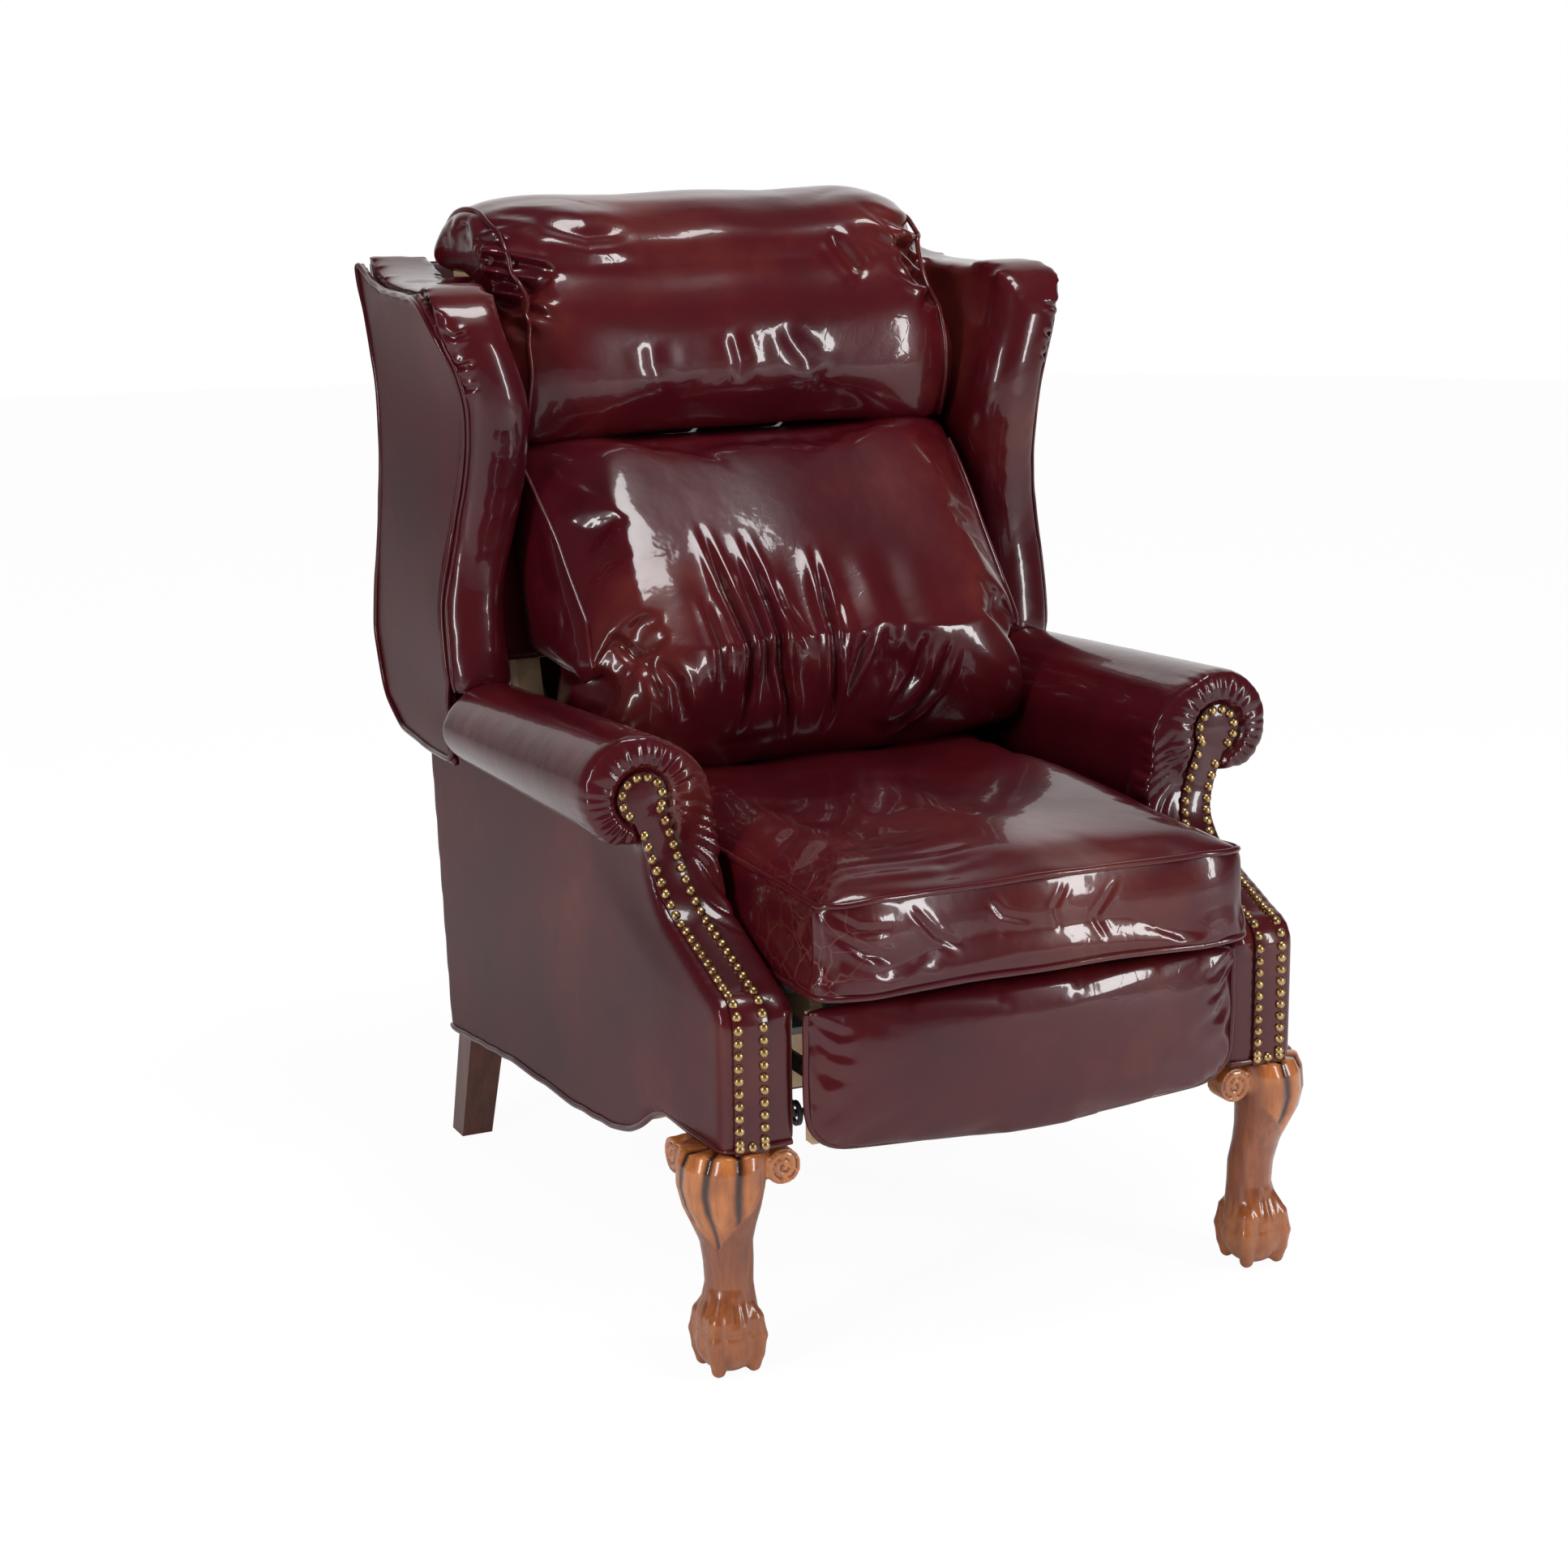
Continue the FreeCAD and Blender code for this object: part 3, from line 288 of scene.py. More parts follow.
def carved():
    """Polished carving: orange brown, painted lighter as if lit, where carved; darker shank; near-black
    painted shade in grooves.
    """
    f = Finish("carved_wood", 0.26)
    grain = f.noise(1.0, 6.0, 0.65, f.stretch((90.0, 90.0, 9.0)))
    # Painted light: a lighter copy of the grain for the carved parts, as if lit, and a darker one for the
    # shank.
    lit = f.ramp(grain, (0.3, (0.30, 0.075, 0.018)), (0.7, (0.56, 0.20, 0.05)))
    plain = f.ramp(grain, (0.3, (0.13, 0.030, 0.012)), (0.7, (0.30, 0.085, 0.026)))
    tone = f.mixed(f.attribute("lit_carving"), plain, lit)
    stain = f.spread(f.noise(26.0, 3.0), 0.40, 0.68, 0.0, 0.45)
    tone = f.mixed(stain, tone, (0.14, 0.035, 0.014, 1.0))
    # Painted shade: the grooves darken to near black by their depth.
    f.wear("Base Color", f.mixed(f.attribute("groove"), tone, (0.030, 0.007, 0.004, 1.0)))
    f.wear("Coat Weight", 0.35)
    f.wear("Coat Roughness", 0.12)
    f.wear("Normal", f.bump(grain, 0.10, 0.0005))
    return f.material


def steel(name, colour, rough, metallic):
    f = Finish(name, rough, metallic)
    f.wear("Base Color", f.ramp(f.noise(30.0), (0.3, tuple(c * 0.75 for c in colour)), (0.7, colour)))
    f.wear("Roughness", f.spread(f.noise(80.0), 0.3, 0.7, rough * 0.8, rough * 1.2))
    f.wear("Normal", f.bump(f.noise(450.0), 0.08, 0.0003))
    return f.material


def woven(name, colour):
    """Black cloth with a plain weave."""
    f = Finish(name, 0.85)
    across = f.add("TexWave", Vector=f.place, Scale=180.0)
    across.bands_direction = "X"
    along = f.add("TexWave", Vector=f.place, Scale=180.0)
    along.bands_direction = "Y"
    weave = f.maths("MAXIMUM", across.outputs["Fac"], along.outputs["Fac"])
    f.wear("Base Color", f.ramp(weave, (0.2, tuple(c * 0.6 for c in colour)), (0.8, colour)))
    f.wear("Normal", f.bump(weave, 0.3, 0.0005))
    f.put(f.shader, "Sheen Weight", 0.2)
    return f.material


# %% [markdown]
# Each slot of the record gets its finish, and every CAD node that stays in view, such as
# the frame wood, the steel links and the springs, takes the finish of its slot.
# %% Finishes by slot
finishes = {
    "oxblood_leather": wine_leather("oxblood_leather"),
    "hardwood": wood("hardwood", (0.42, 0.27, 0.14), (0.62, 0.45, 0.27), (50.0, 6.0, 50.0), 0.55),
    "carved_wood": carved(),
    "dark_wood": wood("dark_wood", (0.045, 0.012, 0.008), (0.13, 0.035, 0.02), (70.0, 70.0, 7.0), 0.35),
    "antique_brass": brass(),
    "mechanism_steel": steel("mechanism_steel", (0.05, 0.05, 0.055), 0.42, 0.0),
    "spring_steel": steel("spring_steel", (0.50, 0.50, 0.52), 0.35, 1.0),
    "cloth": woven("cloth", (0.02, 0.02, 0.02)),
}
for subpart in frame["record"]["subparts"]:
    solid = nodes[subpart["node"]]
    solid.data.materials.clear()
    solid.data.materials.append(finishes[subpart["material_slot"]])

# %% [markdown]
# Padded pieces begin as copies of their CAD solids. A voxel remesh gives them an even
# skin, smoothing rounds the corners as a filled cover does, and a short cloth simulation
# with pressure inside makes them swell. A cap keeps each point near its start.
# %% Padding helpers
swell_frames = 20
merge_distance = 1e-6


def keep_result(piece):
    """Replace a piece's mesh by what its modifiers make of it."""
    graph = bpy.context.evaluated_depsgraph_get()
    mesh = bpy.data.meshes.new_from_object(piece.evaluated_get(graph))
    piece.modifiers.clear()
    piece.data = mesh


def linked(name, made):
    """A new object from a bmesh."""
    mesh = bpy.data.meshes.new(name)
    made.to_mesh(mesh)
    made.free()
    piece = bpy.data.objects.new(name, mesh)
    scene.collection.objects.link(piece)
    return piece


def copied(name, *names):
    """One merged mesh from the copies of some CAD nodes."""
    made = bmesh.new()
    for node in names:
        made.from_mesh(nodes[node].data)
    bmesh.ops.remove_doubles(made, verts=made.verts, dist=merge_distance)
    return linked(name, made)


def remeshed(piece, voxel, rounds):
    """An even skin of small faces, with its corners rounded by some rounds of smoothing."""
    skin = piece.modifiers.new("skin", "REMESH")
    skin.mode = "VOXEL"
    skin.voxel_size = voxel
    soften = piece.modifiers.new("soften", "SMOOTH")
    soften.factor = 0.5
    soften.iterations = rounds
    keep_result(piece)


def puffed(piece, pressure, cap, held=None):
    """Swell a closed skin by cloth under pressure; held(point), 0 to 1, pins what rests on wood."""
    start = [v.co.copy() for v in piece.data.vertices]
    cloth = piece.modifiers.new("cloth", "CLOTH")
    cloth.settings.use_pressure = True
    cloth.settings.uniform_pressure_force = pressure
    cloth.settings.effector_weights.gravity = 0.0
    cloth.point_cache.frame_start = 1
    cloth.point_cache.frame_end = swell_frames
    if held:
        group = piece.vertex_groups.new(name="held")
        for vertex in piece.data.vertices:
            group.add([vertex.index], held(vertex.co), "REPLACE")
        cloth.settings.vertex_group_mass = "held"
    for number in range(1, swell_frames + 1):
        scene.frame_set(number)
    keep_result(piece)
    scene.frame_set(1)
    for vertex, place in zip(piece.data.vertices, start):
        move = vertex.co - place
        if move.length > cap:
            vertex.co = place + move * (cap / move.length)


def finished(piece, finish, body, slot, *replaced):
    """Give a piece its finish and smooth shading, and say what it rides on and stands for."""
    piece.data.materials.clear()
    piece.data.materials.append(finish)
    piece.data.shade_smooth()
    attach(piece, body)
    if replaced:
        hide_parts(*replaced)
    print(piece.name, len(piece.data.polygons))


leather = finishes["oxblood_leather"]
soft_slot = "oxblood_leather"

# %% [markdown]
# Folds and seams come after the swelling. Each is a line drawn on one view of the piece,
# such as from the front, and pressed into the skin: a valley with a low rise on each
# side, fading out towards its ends. The sums run on whole arrays of points at once.
# %% Fold helpers


def points_of(mesh):
    place = np.empty(len(mesh.vertices) * 3)
    mesh.vertices.foreach_get("co", place)
    normal = np.empty(len(mesh.vertices) * 3)
    mesh.vertices.foreach_get("normal", normal)
    return place.reshape(-1, 3), normal.reshape(-1, 3)


def set_points(mesh, place):
    mesh.vertices.foreach_set("co", place.ravel())
    mesh.update()


def smooth_step(value, low, high):
    t = np.clip((value - low) / (high - low), 0.0, 1.0)
    return t * t * (3 - 2 * t)


def line_distance(flat, line):
    """Distance of each point to a broken line, and how far along it the nearest place is."""
    line = np.array(line, float)
    lengths = np.linalg.norm(line[1:] - line[:-1], axis=1)
    before = 0.0
    best = np.full(len(flat), 1e9)
    along = np.zeros(len(flat))
    for start, end, length in zip(line[:-1], line[1:], lengths):
        t = np.clip((flat - start) @ (end - start) / length ** 2, 0, 1)
        gap = np.linalg.norm(flat - (start + t[:, None] * (end - start)), axis=1)
        nearer = gap < best
        best[nearer] = gap[nearer]
        along[nearer] = (before + t[nearer] * length) / lengths.sum()
        before += length
    return best, along


def fold(flat, line, width, depth, gathered=False):
    """Height of one fold: a valley with a low rise on both sides.

    A gathered one is deepest at its start; any other fades out at both ends.
    """
    gap, along = line_distance(flat, line)
    valley = np.exp(-(gap / width) ** 2)
    rise = np.exp(-((gap - 2.1 * width) / (1.2 * width)) ** 2)
    shape = -valley + 0.55 * rise
    if gathered:
        ends = smooth_step(1 - along, 0.0, 0.7)
    else:
        ends = smooth_step(np.minimum(along, 1 - along), 0.0, 0.3)
    return depth * shape * ends


front_view, top_view = (0, 2), (0, 1)
turn_start, turn_end = 0.15, 0.50  # how far the skin faces the fold's view where it fades in


def pressed(piece, folds, view=front_view, facing=(0, -1, 0)):
    """Press a list of (line, width, depth) folds into the side of a piece that faces a way."""
    place, normal = points_of(piece.data)
    flat = place[:, view]
    height = np.zeros(len(place))
    for line, *size in folds:
        height += fold(flat, line, *size)
    mask = smooth_step(normal @ np.array(facing, float), turn_start, turn_end)
    set_points(piece.data, place + normal * (height * mask)[:, None])


def shaped(piece, change):
    """Move every point of a piece by change(place, normal)."""
    place, normal = points_of(piece.data)
    set_points(piece.data, place + change(place, normal))


def fitted(piece, low, high):
    """Stretch a piece so that its box has these corners, since swelling draws the ends in."""
    place, _ = points_of(piece.data)
    least, most = place.min(0), place.max(0)
    set_points(piece.data, low + (place - least) * (np.array(high) - low) / (most - least))


def grown(node, left=0.0, right=0.0, front=0.0, rear=0.0, under=0.0, over=0.0):
    """Corners of a CAD node's box, moved out by these amounts."""
    low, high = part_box(node)
    return np.array(low) - (left, front, under), np.array(high) + (right, rear, over)


def painted(piece, name, values):
    """Store one number per vertex for the finish to read."""
    stored = piece.data.attributes.new(name, "FLOAT", "POINT").data
    stored.foreach_set("value", np.ascontiguousarray(values, float))


def finer(piece, levels=2):
    """Subdivision once the swelling is done, for room to fold."""
    divide = piece.modifiers.new("divide", "SUBSURF")
    divide.levels = divide.render_levels = levels
    keep_result(piece)


# %% [markdown]
# Welts are covered cords sewn into a seam. Each is a curve with a round bevel, laid on the
# skin: its points are dropped on the nearest place of the piece that carries it.
# %% Welts
point_gap = 0.007
welt_proud = 0.4  # how much of its radius a welt's middle stands above the skin


def skin_of(*pieces):
    made = bmesh.new()
    for piece in pieces:
        made.from_mesh(piece.data)
    tree = BVHTree.FromBMesh(made)
    made.free()
    return tree


def dense(points, gap, closed=False):
    """Points about a gap apart along a broken line."""
    walk = []
    following = points[1:] + points[:1] if closed else points[1:]
    for start, end in zip(points, following):
        start, end = Vector(start), Vector(end)
        count = max(1, round((end - start).length / gap))
        walk += [start.lerp(end, index / count) for index in range(count)]
    return walk if closed else walk + [Vector(points[-1])]


def welt(name, paths, body, radius, skin, *replaced, closed=False):
    """Round covered cords along some paths, sunk into the skin that carries them, as one piece."""
    line = bpy.data.curves.new(name, "CURVE")
    line.dimensions = "3D"
    line.bevel_depth = radius
    line.bevel_resolution = 2
    line.use_fill_caps = True
    for points in paths:
        walk = []
        for point in dense(points, point_gap, closed):
            place, normal, _, _ = skin.find_nearest(point)
            walk.append(place + normal * radius * welt_proud)
        fixed_ends = 0 if closed else 1
        for _ in range(3):
            ring = walk[:]
            for index in range(fixed_ends, len(walk) - fixed_ends):
                sides = ring[index - 1] + ring[(index + 1) % len(ring)]
                walk[index] = ring[index] * 0.5 + sides * 0.25
        run = line.splines.new("POLY")
        run.points.add(len(walk) - 1)
        for point, place in zip(run.points, walk):
            point.co = (*place, 1.0)
        run.use_cyclic_u = closed
    drawn = bpy.data.objects.new(name + "_line", line)
    scene.collection.objects.link(drawn)
    graph = bpy.context.evaluated_depsgraph_get()
    mesh = bpy.data.meshes.new_from_object(drawn.evaluated_get(graph))
    bpy.data.objects.remove(drawn)
    piece = bpy.data.objects.new(name, mesh)
    scene.collection.objects.link(piece)
    finished(piece, leather, body, soft_slot, *replaced)


# %% [markdown]
# The seat cushion is a boxed cushion: a crowned top and a plain bottom joined by a border
# band, with a welt round both edges. The front border bulges and is creased by use.
# %% Seat cushion
cushion = copied("seat_cushion_cover", "seat_cushion")
remeshed(cushion, 0.009, 3)
low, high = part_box("seat_cushion")
puffed(cushion, 4.0, 0.010, lambda p: 1.0 if p.z < low.z + 0.004 else 0.0)
fitted(cushion, *grown("seat_cushion", front=0.003, over=0.002))
finer(cushion)
cushion_folds = [
    ([(-0.235, 0.482), (-0.205, 0.462), (-0.165, 0.458)], 0.004, 0.0022),
    ([(-0.230, 0.462), (-0.200, 0.440), (-0.160, 0.425)], 0.004, 0.0022),
    ([(-0.150, 0.478), (-0.120, 0.445), (-0.085, 0.425)], 0.003, 0.0012),
    ([(-0.060, 0.475), (-0.045, 0.455), (-0.010, 0.445)], 0.003, 0.0011),
    ([(0.090, 0.476), (0.060, 0.440), (0.075, 0.412)], 0.003, 0.0010),
    ([(0.030, 0.480), (0.012, 0.456), (0.020, 0.430)], 0.003, 0.0010),
]
pressed(cushion, cushion_folds)
saddle_folds = [([(-0.240, y), (-0.18, y - 0.006), (-0.09, y + 0.004), (-0.02, y + 0.012)], 0.007, depth)
                for y, depth in ((-0.466, 0.0010), (-0.449, 0.0013), (-0.425, 0.0009), (-0.384, 0.0007))]
saddle_folds += [([(-0.16, -0.33), (-0.15, -0.25), (-0.16, -0.18)], 0.030, 0.0030),
                 ([(0.02, -0.36), (0.03, -0.25), (0.02, -0.12)], 0.040, 0.0030)]
pressed(cushion, saddle_folds, top_view, (0, 0, 1))
place, _ = points_of(cushion.data)
painted(cushion, "worn", smooth_step(-place[:, 1], 0.30, 0.46) * smooth_step(-place[:, 0], -0.12, 0.02))
finished(cushion, leather, "seat", soft_slot, "seat_cushion")
edge_x, front_y, rear_y, corner = 0.2465, low.y + 0.004, high.y, 0.018


def cushion_loop(z, drop):
    """A seam round the cushion, lower at its corners by drop."""
    half = [(0.0, front_y, z), (0.13, front_y, z - drop * 0.4), (edge_x - corner, front_y, z - drop),
            (edge_x, front_y + corner, z - drop), (edge_x, rear_y - corner, z - drop),
            (edge_x - corner, rear_y, z - drop), (0.0, rear_y, z)]
    return half + [(-x, y, z) for x, y, z in reversed(half[1:-1])]


top_seam, top_drop, bottom_seam = 0.496, 0.006, 0.396
welt("seat_welts", [cushion_loop(top_seam, top_drop), cushion_loop(bottom_seam, 0.0)], "seat", 0.0036,
     skin_of(cushion), closed=True)

# %% [markdown]
# The lumbar pad is fullest low down, where the sitter leans, and wrinkles there in long
# upright folds. Its lower corners spill over the arms, and a welt runs down each side.
# %% Lumbar pad
lumbar = copied("lumbar_cover", "lumbar_pad")
remeshed(lumbar, 0.009, 3)
puffed(lumbar, 4.0, 0.020, lambda p: 1.0 if p.z < 0.50 else 0.0)
fitted(lumbar, *grown("lumbar_pad", 0.004, 0.004, over=0.012))
finer(lumbar)
lumbar_folds = [([(x, 0.745), (x + 0.006, 0.66), (x - 0.004, 0.54)], 0.017, depth)
                for x, depth in ((-0.135, 0.003), (-0.085, 0.004), (-0.030, 0.004), (0.030, 0.004),
                                 (0.085, 0.003))]
lumbar_folds += [
    ([(-0.139, 0.705), (-0.135, 0.648), (-0.132, 0.595)], 0.0045, 0.0045),
    ([(-0.115, 0.775), (-0.110, 0.704), (-0.100, 0.641), (-0.103, 0.587), (-0.111, 0.528)], 0.0045, 0.0080),
    ([(-0.088, 0.740), (-0.080, 0.660), (-0.078, 0.600)], 0.0045, 0.0035),
    ([(-0.070, 0.765), (-0.064, 0.679), (-0.062, 0.625), (-0.052, 0.574), (-0.046, 0.522)], 0.0045, 0.0085),
    ([(-0.054, 0.720), (-0.050, 0.678), (-0.028, 0.635)], 0.0040, 0.0035),
    ([(0.010, 0.745), (0.000, 0.682), (-0.001, 0.636), (0.001, 0.590), (-0.004, 0.530)], 0.0045, 0.0080),
    ([(0.018, 0.695), (0.012, 0.660), (0.006, 0.620)], 0.0040, 0.0035),
    ([(0.047, 0.655), (0.030, 0.613), (0.012, 0.570)], 0.0045, 0.0045),
    ([(0.117, 0.645), (0.105, 0.593), (0.078, 0.548)], 0.0050, 0.0050),
    ([(0.147, 0.635), (0.129, 0.577), (0.110, 0.549), (0.076, 0.513)], 0.0050, 0.0055),
    ([(-0.215, 0.650), (-0.190, 0.615), (-0.180, 0.570)], 0.0065, 0.0050),
    ([(-0.245, 0.670), (-0.220, 0.640), (-0.205, 0.590)], 0.0060, 0.0045),
]
pressed(lumbar, lumbar_folds)
finished(lumbar, leather, "back", soft_slot, "lumbar_pad")
lumbar_side = [(0.270, 0.020, 0.625), (0.271, 0.045, 0.68), (0.271, 0.120, 0.76), (0.270, 0.205, 0.825)]
welt("lumbar_welts", [[(side * x, y, z) for x, y, z in lumbar_side] for side in (-1, 1)], "back", 0.003,
     skin_of(lumbar))

# %% [markdown]
# The headrest is a stuffed roll that hangs over the top rail. Its ends are gathered, so
# pleats run in from the upper corners, and a welt closes each end.
# %% Headrest
headrest = copied("headrest_cover", "headrest_roll")
remeshed(headrest, 0.009, 3)
puffed(headrest, 4.0, 0.016)
fitted(headrest, *grown("headrest_roll", 0.006, 0.006, under=0.004))
finer(headrest)
headrest_folds = [
    ([(-0.288, 1.092), (-0.250, 1.105), (-0.190, 1.106)], 0.006, 0.0060, True),
    ([(-0.290, 1.074), (-0.262, 1.090), (-0.225, 1.097)], 0.005, 0.0075, True),
    ([(-0.292, 1.053), (-0.280, 1.071), (-0.235, 1.082)], 0.005, 0.0085, True),
    ([(-0.292, 1.039), (-0.277, 1.056), (-0.242, 1.049), (-0.200, 1.038)], 0.005, 0.0090, True),
    ([(-0.292, 1.026), (-0.265, 1.030), (-0.220, 1.010)], 0.006, 0.0085, True),
    ([(-0.292, 1.012), (-0.262, 1.005), (-0.222, 0.984)], 0.006, 0.0070, True),
    ([(-0.292, 0.995), (-0.268, 0.985), (-0.245, 0.965)], 0.007, 0.0050, True),
    ([(-0.240, 1.100), (-0.175, 1.080), (-0.110, 1.082)], 0.009, 0.0050),
    ([(-0.120, 0.965), (-0.118, 0.935), (-0.108, 0.915)], 0.010, 0.0012),
    ([(-0.020, 0.975), (-0.010, 0.935), (-0.012, 0.905)], 0.008, 0.0018),
    ([(0.040, 0.975), (0.062, 0.945), (0.088, 0.915)], 0.011, 0.0022),
    ([(0.285, 1.020), (0.240, 1.048), (0.180, 1.098)], 0.005, 0.0080, True),
    ([(0.285, 1.045), (0.210, 1.056), (0.150, 1.082)], 0.006, 0.0075, True),
    ([(0.285, 1.068), (0.225, 1.080), (0.170, 1.106)], 0.006, 0.0060, True),
    ([(0.285, 1.005), (0.230, 1.016), (0.190, 1.036)], 0.005, 0.0075, True),
    ([(0.125, 1.072), (0.145, 1.042), (0.162, 1.020)], 0.008, 0.0060),
    ([(0.285, 0.992), (0.245, 0.992), (0.222, 0.976)], 0.006, 0.0065, True),
]
pressed(headrest, headrest_folds)
end_shift = 0.016


def leaning(place, normal):
    """The left end slumps out over the wing and the right end is drawn in at the top."""
    x, z = place[:, 0], place[:, 2]
    change = np.zeros_like(place)
    change[:, 0] -= end_shift * smooth_step(-x, 0.18, 0.28) * smooth_step(z, 1.01, 1.06)
    change[:, 0] -= end_shift * smooth_step(x, 0.16, 0.27) * smooth_step(z, 0.93, 1.05)
    return change


shaped(headrest, leaning)
finished(headrest, leather, "back", soft_slot, "headrest_roll")
headrest_end = [(0.215, 0.845), (0.190, 0.870), (0.176, 0.930), (0.190, 0.990), (0.215, 1.040),
                (0.250, 1.080), (0.318, 1.100), (0.400, 1.085), (0.440, 1.050)]
welt("headrest_welts", [[(side * 0.272, y, z) for y, z in headrest_end] for side in (-1, 1)], "back", 0.003,
     skin_of(headrest))

# %% [markdown]
# The footrest panel is a board with a thin padded cover, bowed forward in the middle, and
# a welt round its edge. Its top corners are drawn in with small tucks.
# %% Footrest
footrest = copied("footrest_cover", "footrest_pad")
remeshed(footrest, 0.008, 3)
puffed(footrest, 3.0, 0.006, lambda p: 1.0 if p.y > -0.458 else 0.0)
fitted(footrest, *grown("footrest_pad", over=0.009))
finer(footrest)
tucks = [([(-0.240, 0.368), (-0.215, 0.352), (-0.195, 0.350)], 0.005, 0.0030, True),
         ([(-0.240, 0.355), (-0.222, 0.335), (-0.190, 0.322)], 0.006, 0.0030, True),
         ([(-0.240, 0.340), (-0.222, 0.310), (-0.175, 0.295)], 0.008, 0.0025, True)]
tucks += [([(-x, z) for x, z in line], *size) for line, *size in tucks]
pressed(footrest, tucks)
finished(footrest, leather, "footrest", soft_slot, "footrest_pad")
low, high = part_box("footrest_pad")
corner = 0.040
edge = [(high.x, high.z), (high.x, low.z + 0.008 + corner), (high.x - 0.012, low.z + 0.020),
        (high.x - corner, low.z + 0.008), (0.10, low.z + 0.002), (0.0, low.z)]
edge += [(-x, z) for x, z in reversed(edge[:-1])]
welt("footrest_welt", [[(x, -0.462, z) for x, z in edge]], "footrest", 0.0034, skin_of(footrest))

# %% [markdown]
# Each arm is covered as one skin: the roll on top, the pad inside it, the outside panel and
# the facing of the stump are joined before the remesh. The side narrows towards the stump's
# front corner, and round the scroll the hide is drawn in to the nails in small pleats.
# %% Arms
scroll = np.array((0.336, 0.560))
loop_radius = 0.0275
lip, pleat_depth, pleat_waves = 0.009, 0.0045, 13
inner_depth, inner_waves = 0.0035, 210.0
knob_middle, knob_radius, knob_height = (0.264, 0.372), 0.011, 0.005
front_taper = 0.005
roll_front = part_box("arm_roll_right")[0].y
stump_z = (0.237, 0.362, 0.383, 0.395, 0.434, 0.463, 0.505, 0.640)
stump_y = (-0.449, -0.449, -0.442, -0.420, -0.330, -0.293, -0.281, -0.281)
band = [(0.2978 + 0.0382 * max(0.0, (z - 0.4) / 0.16) ** 1.8, z) for z in np.linspace(0.237, 0.56, 18)]


def upholstered(place, normal):
    """Shape an arm of either side: narrower front, pleated lip, folds beside the nails."""
    hand = np.sign(place[:, 0])
    x, y, z = np.abs(place[:, 0]), place[:, 1], place[:, 2]
    flat = np.stack((x, z), axis=1)
    behind = y - np.interp(z, stump_z, stump_y)
    change = np.zeros_like(place)
    corner = smooth_step(x, 0.300, 0.325) * (1 - smooth_step(behind, 0.0, 0.16))
    corner *= 1 - smooth_step(z, 0.42, 0.53)
    change[:, 0] -= hand * front_taper * corner
    from_band, _ = line_distance(flat, band)
    radius = np.hypot(*(flat - scroll).T)
    angle = np.arctan2(z - scroll[1], x - scroll[0])
    clear = smooth_step(radius, loop_radius, loop_radius + 0.008) * smooth_step(from_band, 0.018, 0.026)
    forward = 1 - smooth_step(y - roll_front, 0.004, 0.045)
    on_roll = smooth_step(z, 0.490, 0.530) * forward * clear
    on_face = smooth_step(-normal[:, 1], 0.2, 0.8)
    change[:, 1] -= lip * on_roll * on_face * smooth_step(-radius, -0.075, -0.045)
    wobble = angle + 0.10 * np.sin(3 * angle + 1.0) + 0.05 * np.sin(7 * angle)
    groove = np.abs(np.sin(wobble * pleat_waves)) ** 0.6
    pleat = (groove - 0.75) * pleat_depth * on_roll * smooth_step(-radius, -0.070, -0.040)
    slanted = np.abs(np.sin((z * 0.9 - x * 0.7) * inner_waves + 2.0 * np.sin(z * 60.0))) ** 0.6
    inner = (1 - smooth_step(x, 0.272, 0.285)) * smooth_step(z, 0.42, 0.45)
    inner *= 1 - smooth_step(z, 0.55, 0.60)
    pleat += (slanted - 0.75) * inner_depth * inner * (1 - smooth_step(behind, 0.01, 0.035))
    knob = np.exp(-((x - knob_middle[0]) ** 2 + (z - knob_middle[1]) ** 2) / knob_radius ** 2)
    knob *= smooth_step(-normal[:, 1], 0.1, 0.5)
    return change + normal * (pleat + knob_height * knob)[:, None]


for side in ("left", "right"):
    covered = [part + side for part in ("arm_roll_", "inside_arm_pad_", "outside_arm_panel_",
                                        "stump_facing_")]
    arm = copied("arm_cover_" + side, *covered)
    remeshed(arm, 0.0055, 5)
    finer(arm, 1)
    shaped(arm, upholstered)
    place, normal = points_of(arm.data)
    facing = smooth_step(np.abs(normal[:, 0]) * (np.abs(place[:, 0]) > 0.3), 0.5, 0.9)
    painted(arm, "dull", facing * (1 - smooth_step(place[:, 2], 0.49, 0.52)))
    finished(arm, leather, "base", soft_slot, *covered)

lower_edge = [(0.336, 0.344, 0.140), (0.336, 0.104, 0.165), (0.336, -0.048, 0.169),
              (0.336, -0.170, 0.181), (0.335, -0.225, 0.194), (0.333, -0.262, 0.213),
              (0.330, -0.285, 0.231), (0.328, -0.310, 0.239), (0.331, -0.380, 0.239),
              (0.328, -0.440, 0.239), (0.318, -0.451, 0.239), (0.252, -0.451, 0.239)]
arm_skins = skin_of(bpy.data.objects["arm_cover_left"], bpy.data.objects["arm_cover_right"])
welt("base_welts", [[(side * x, y, z) for x, y, z in lower_edge] for side in (-1, 1)], "base", 0.0036,
     arm_skins, "side_welts")

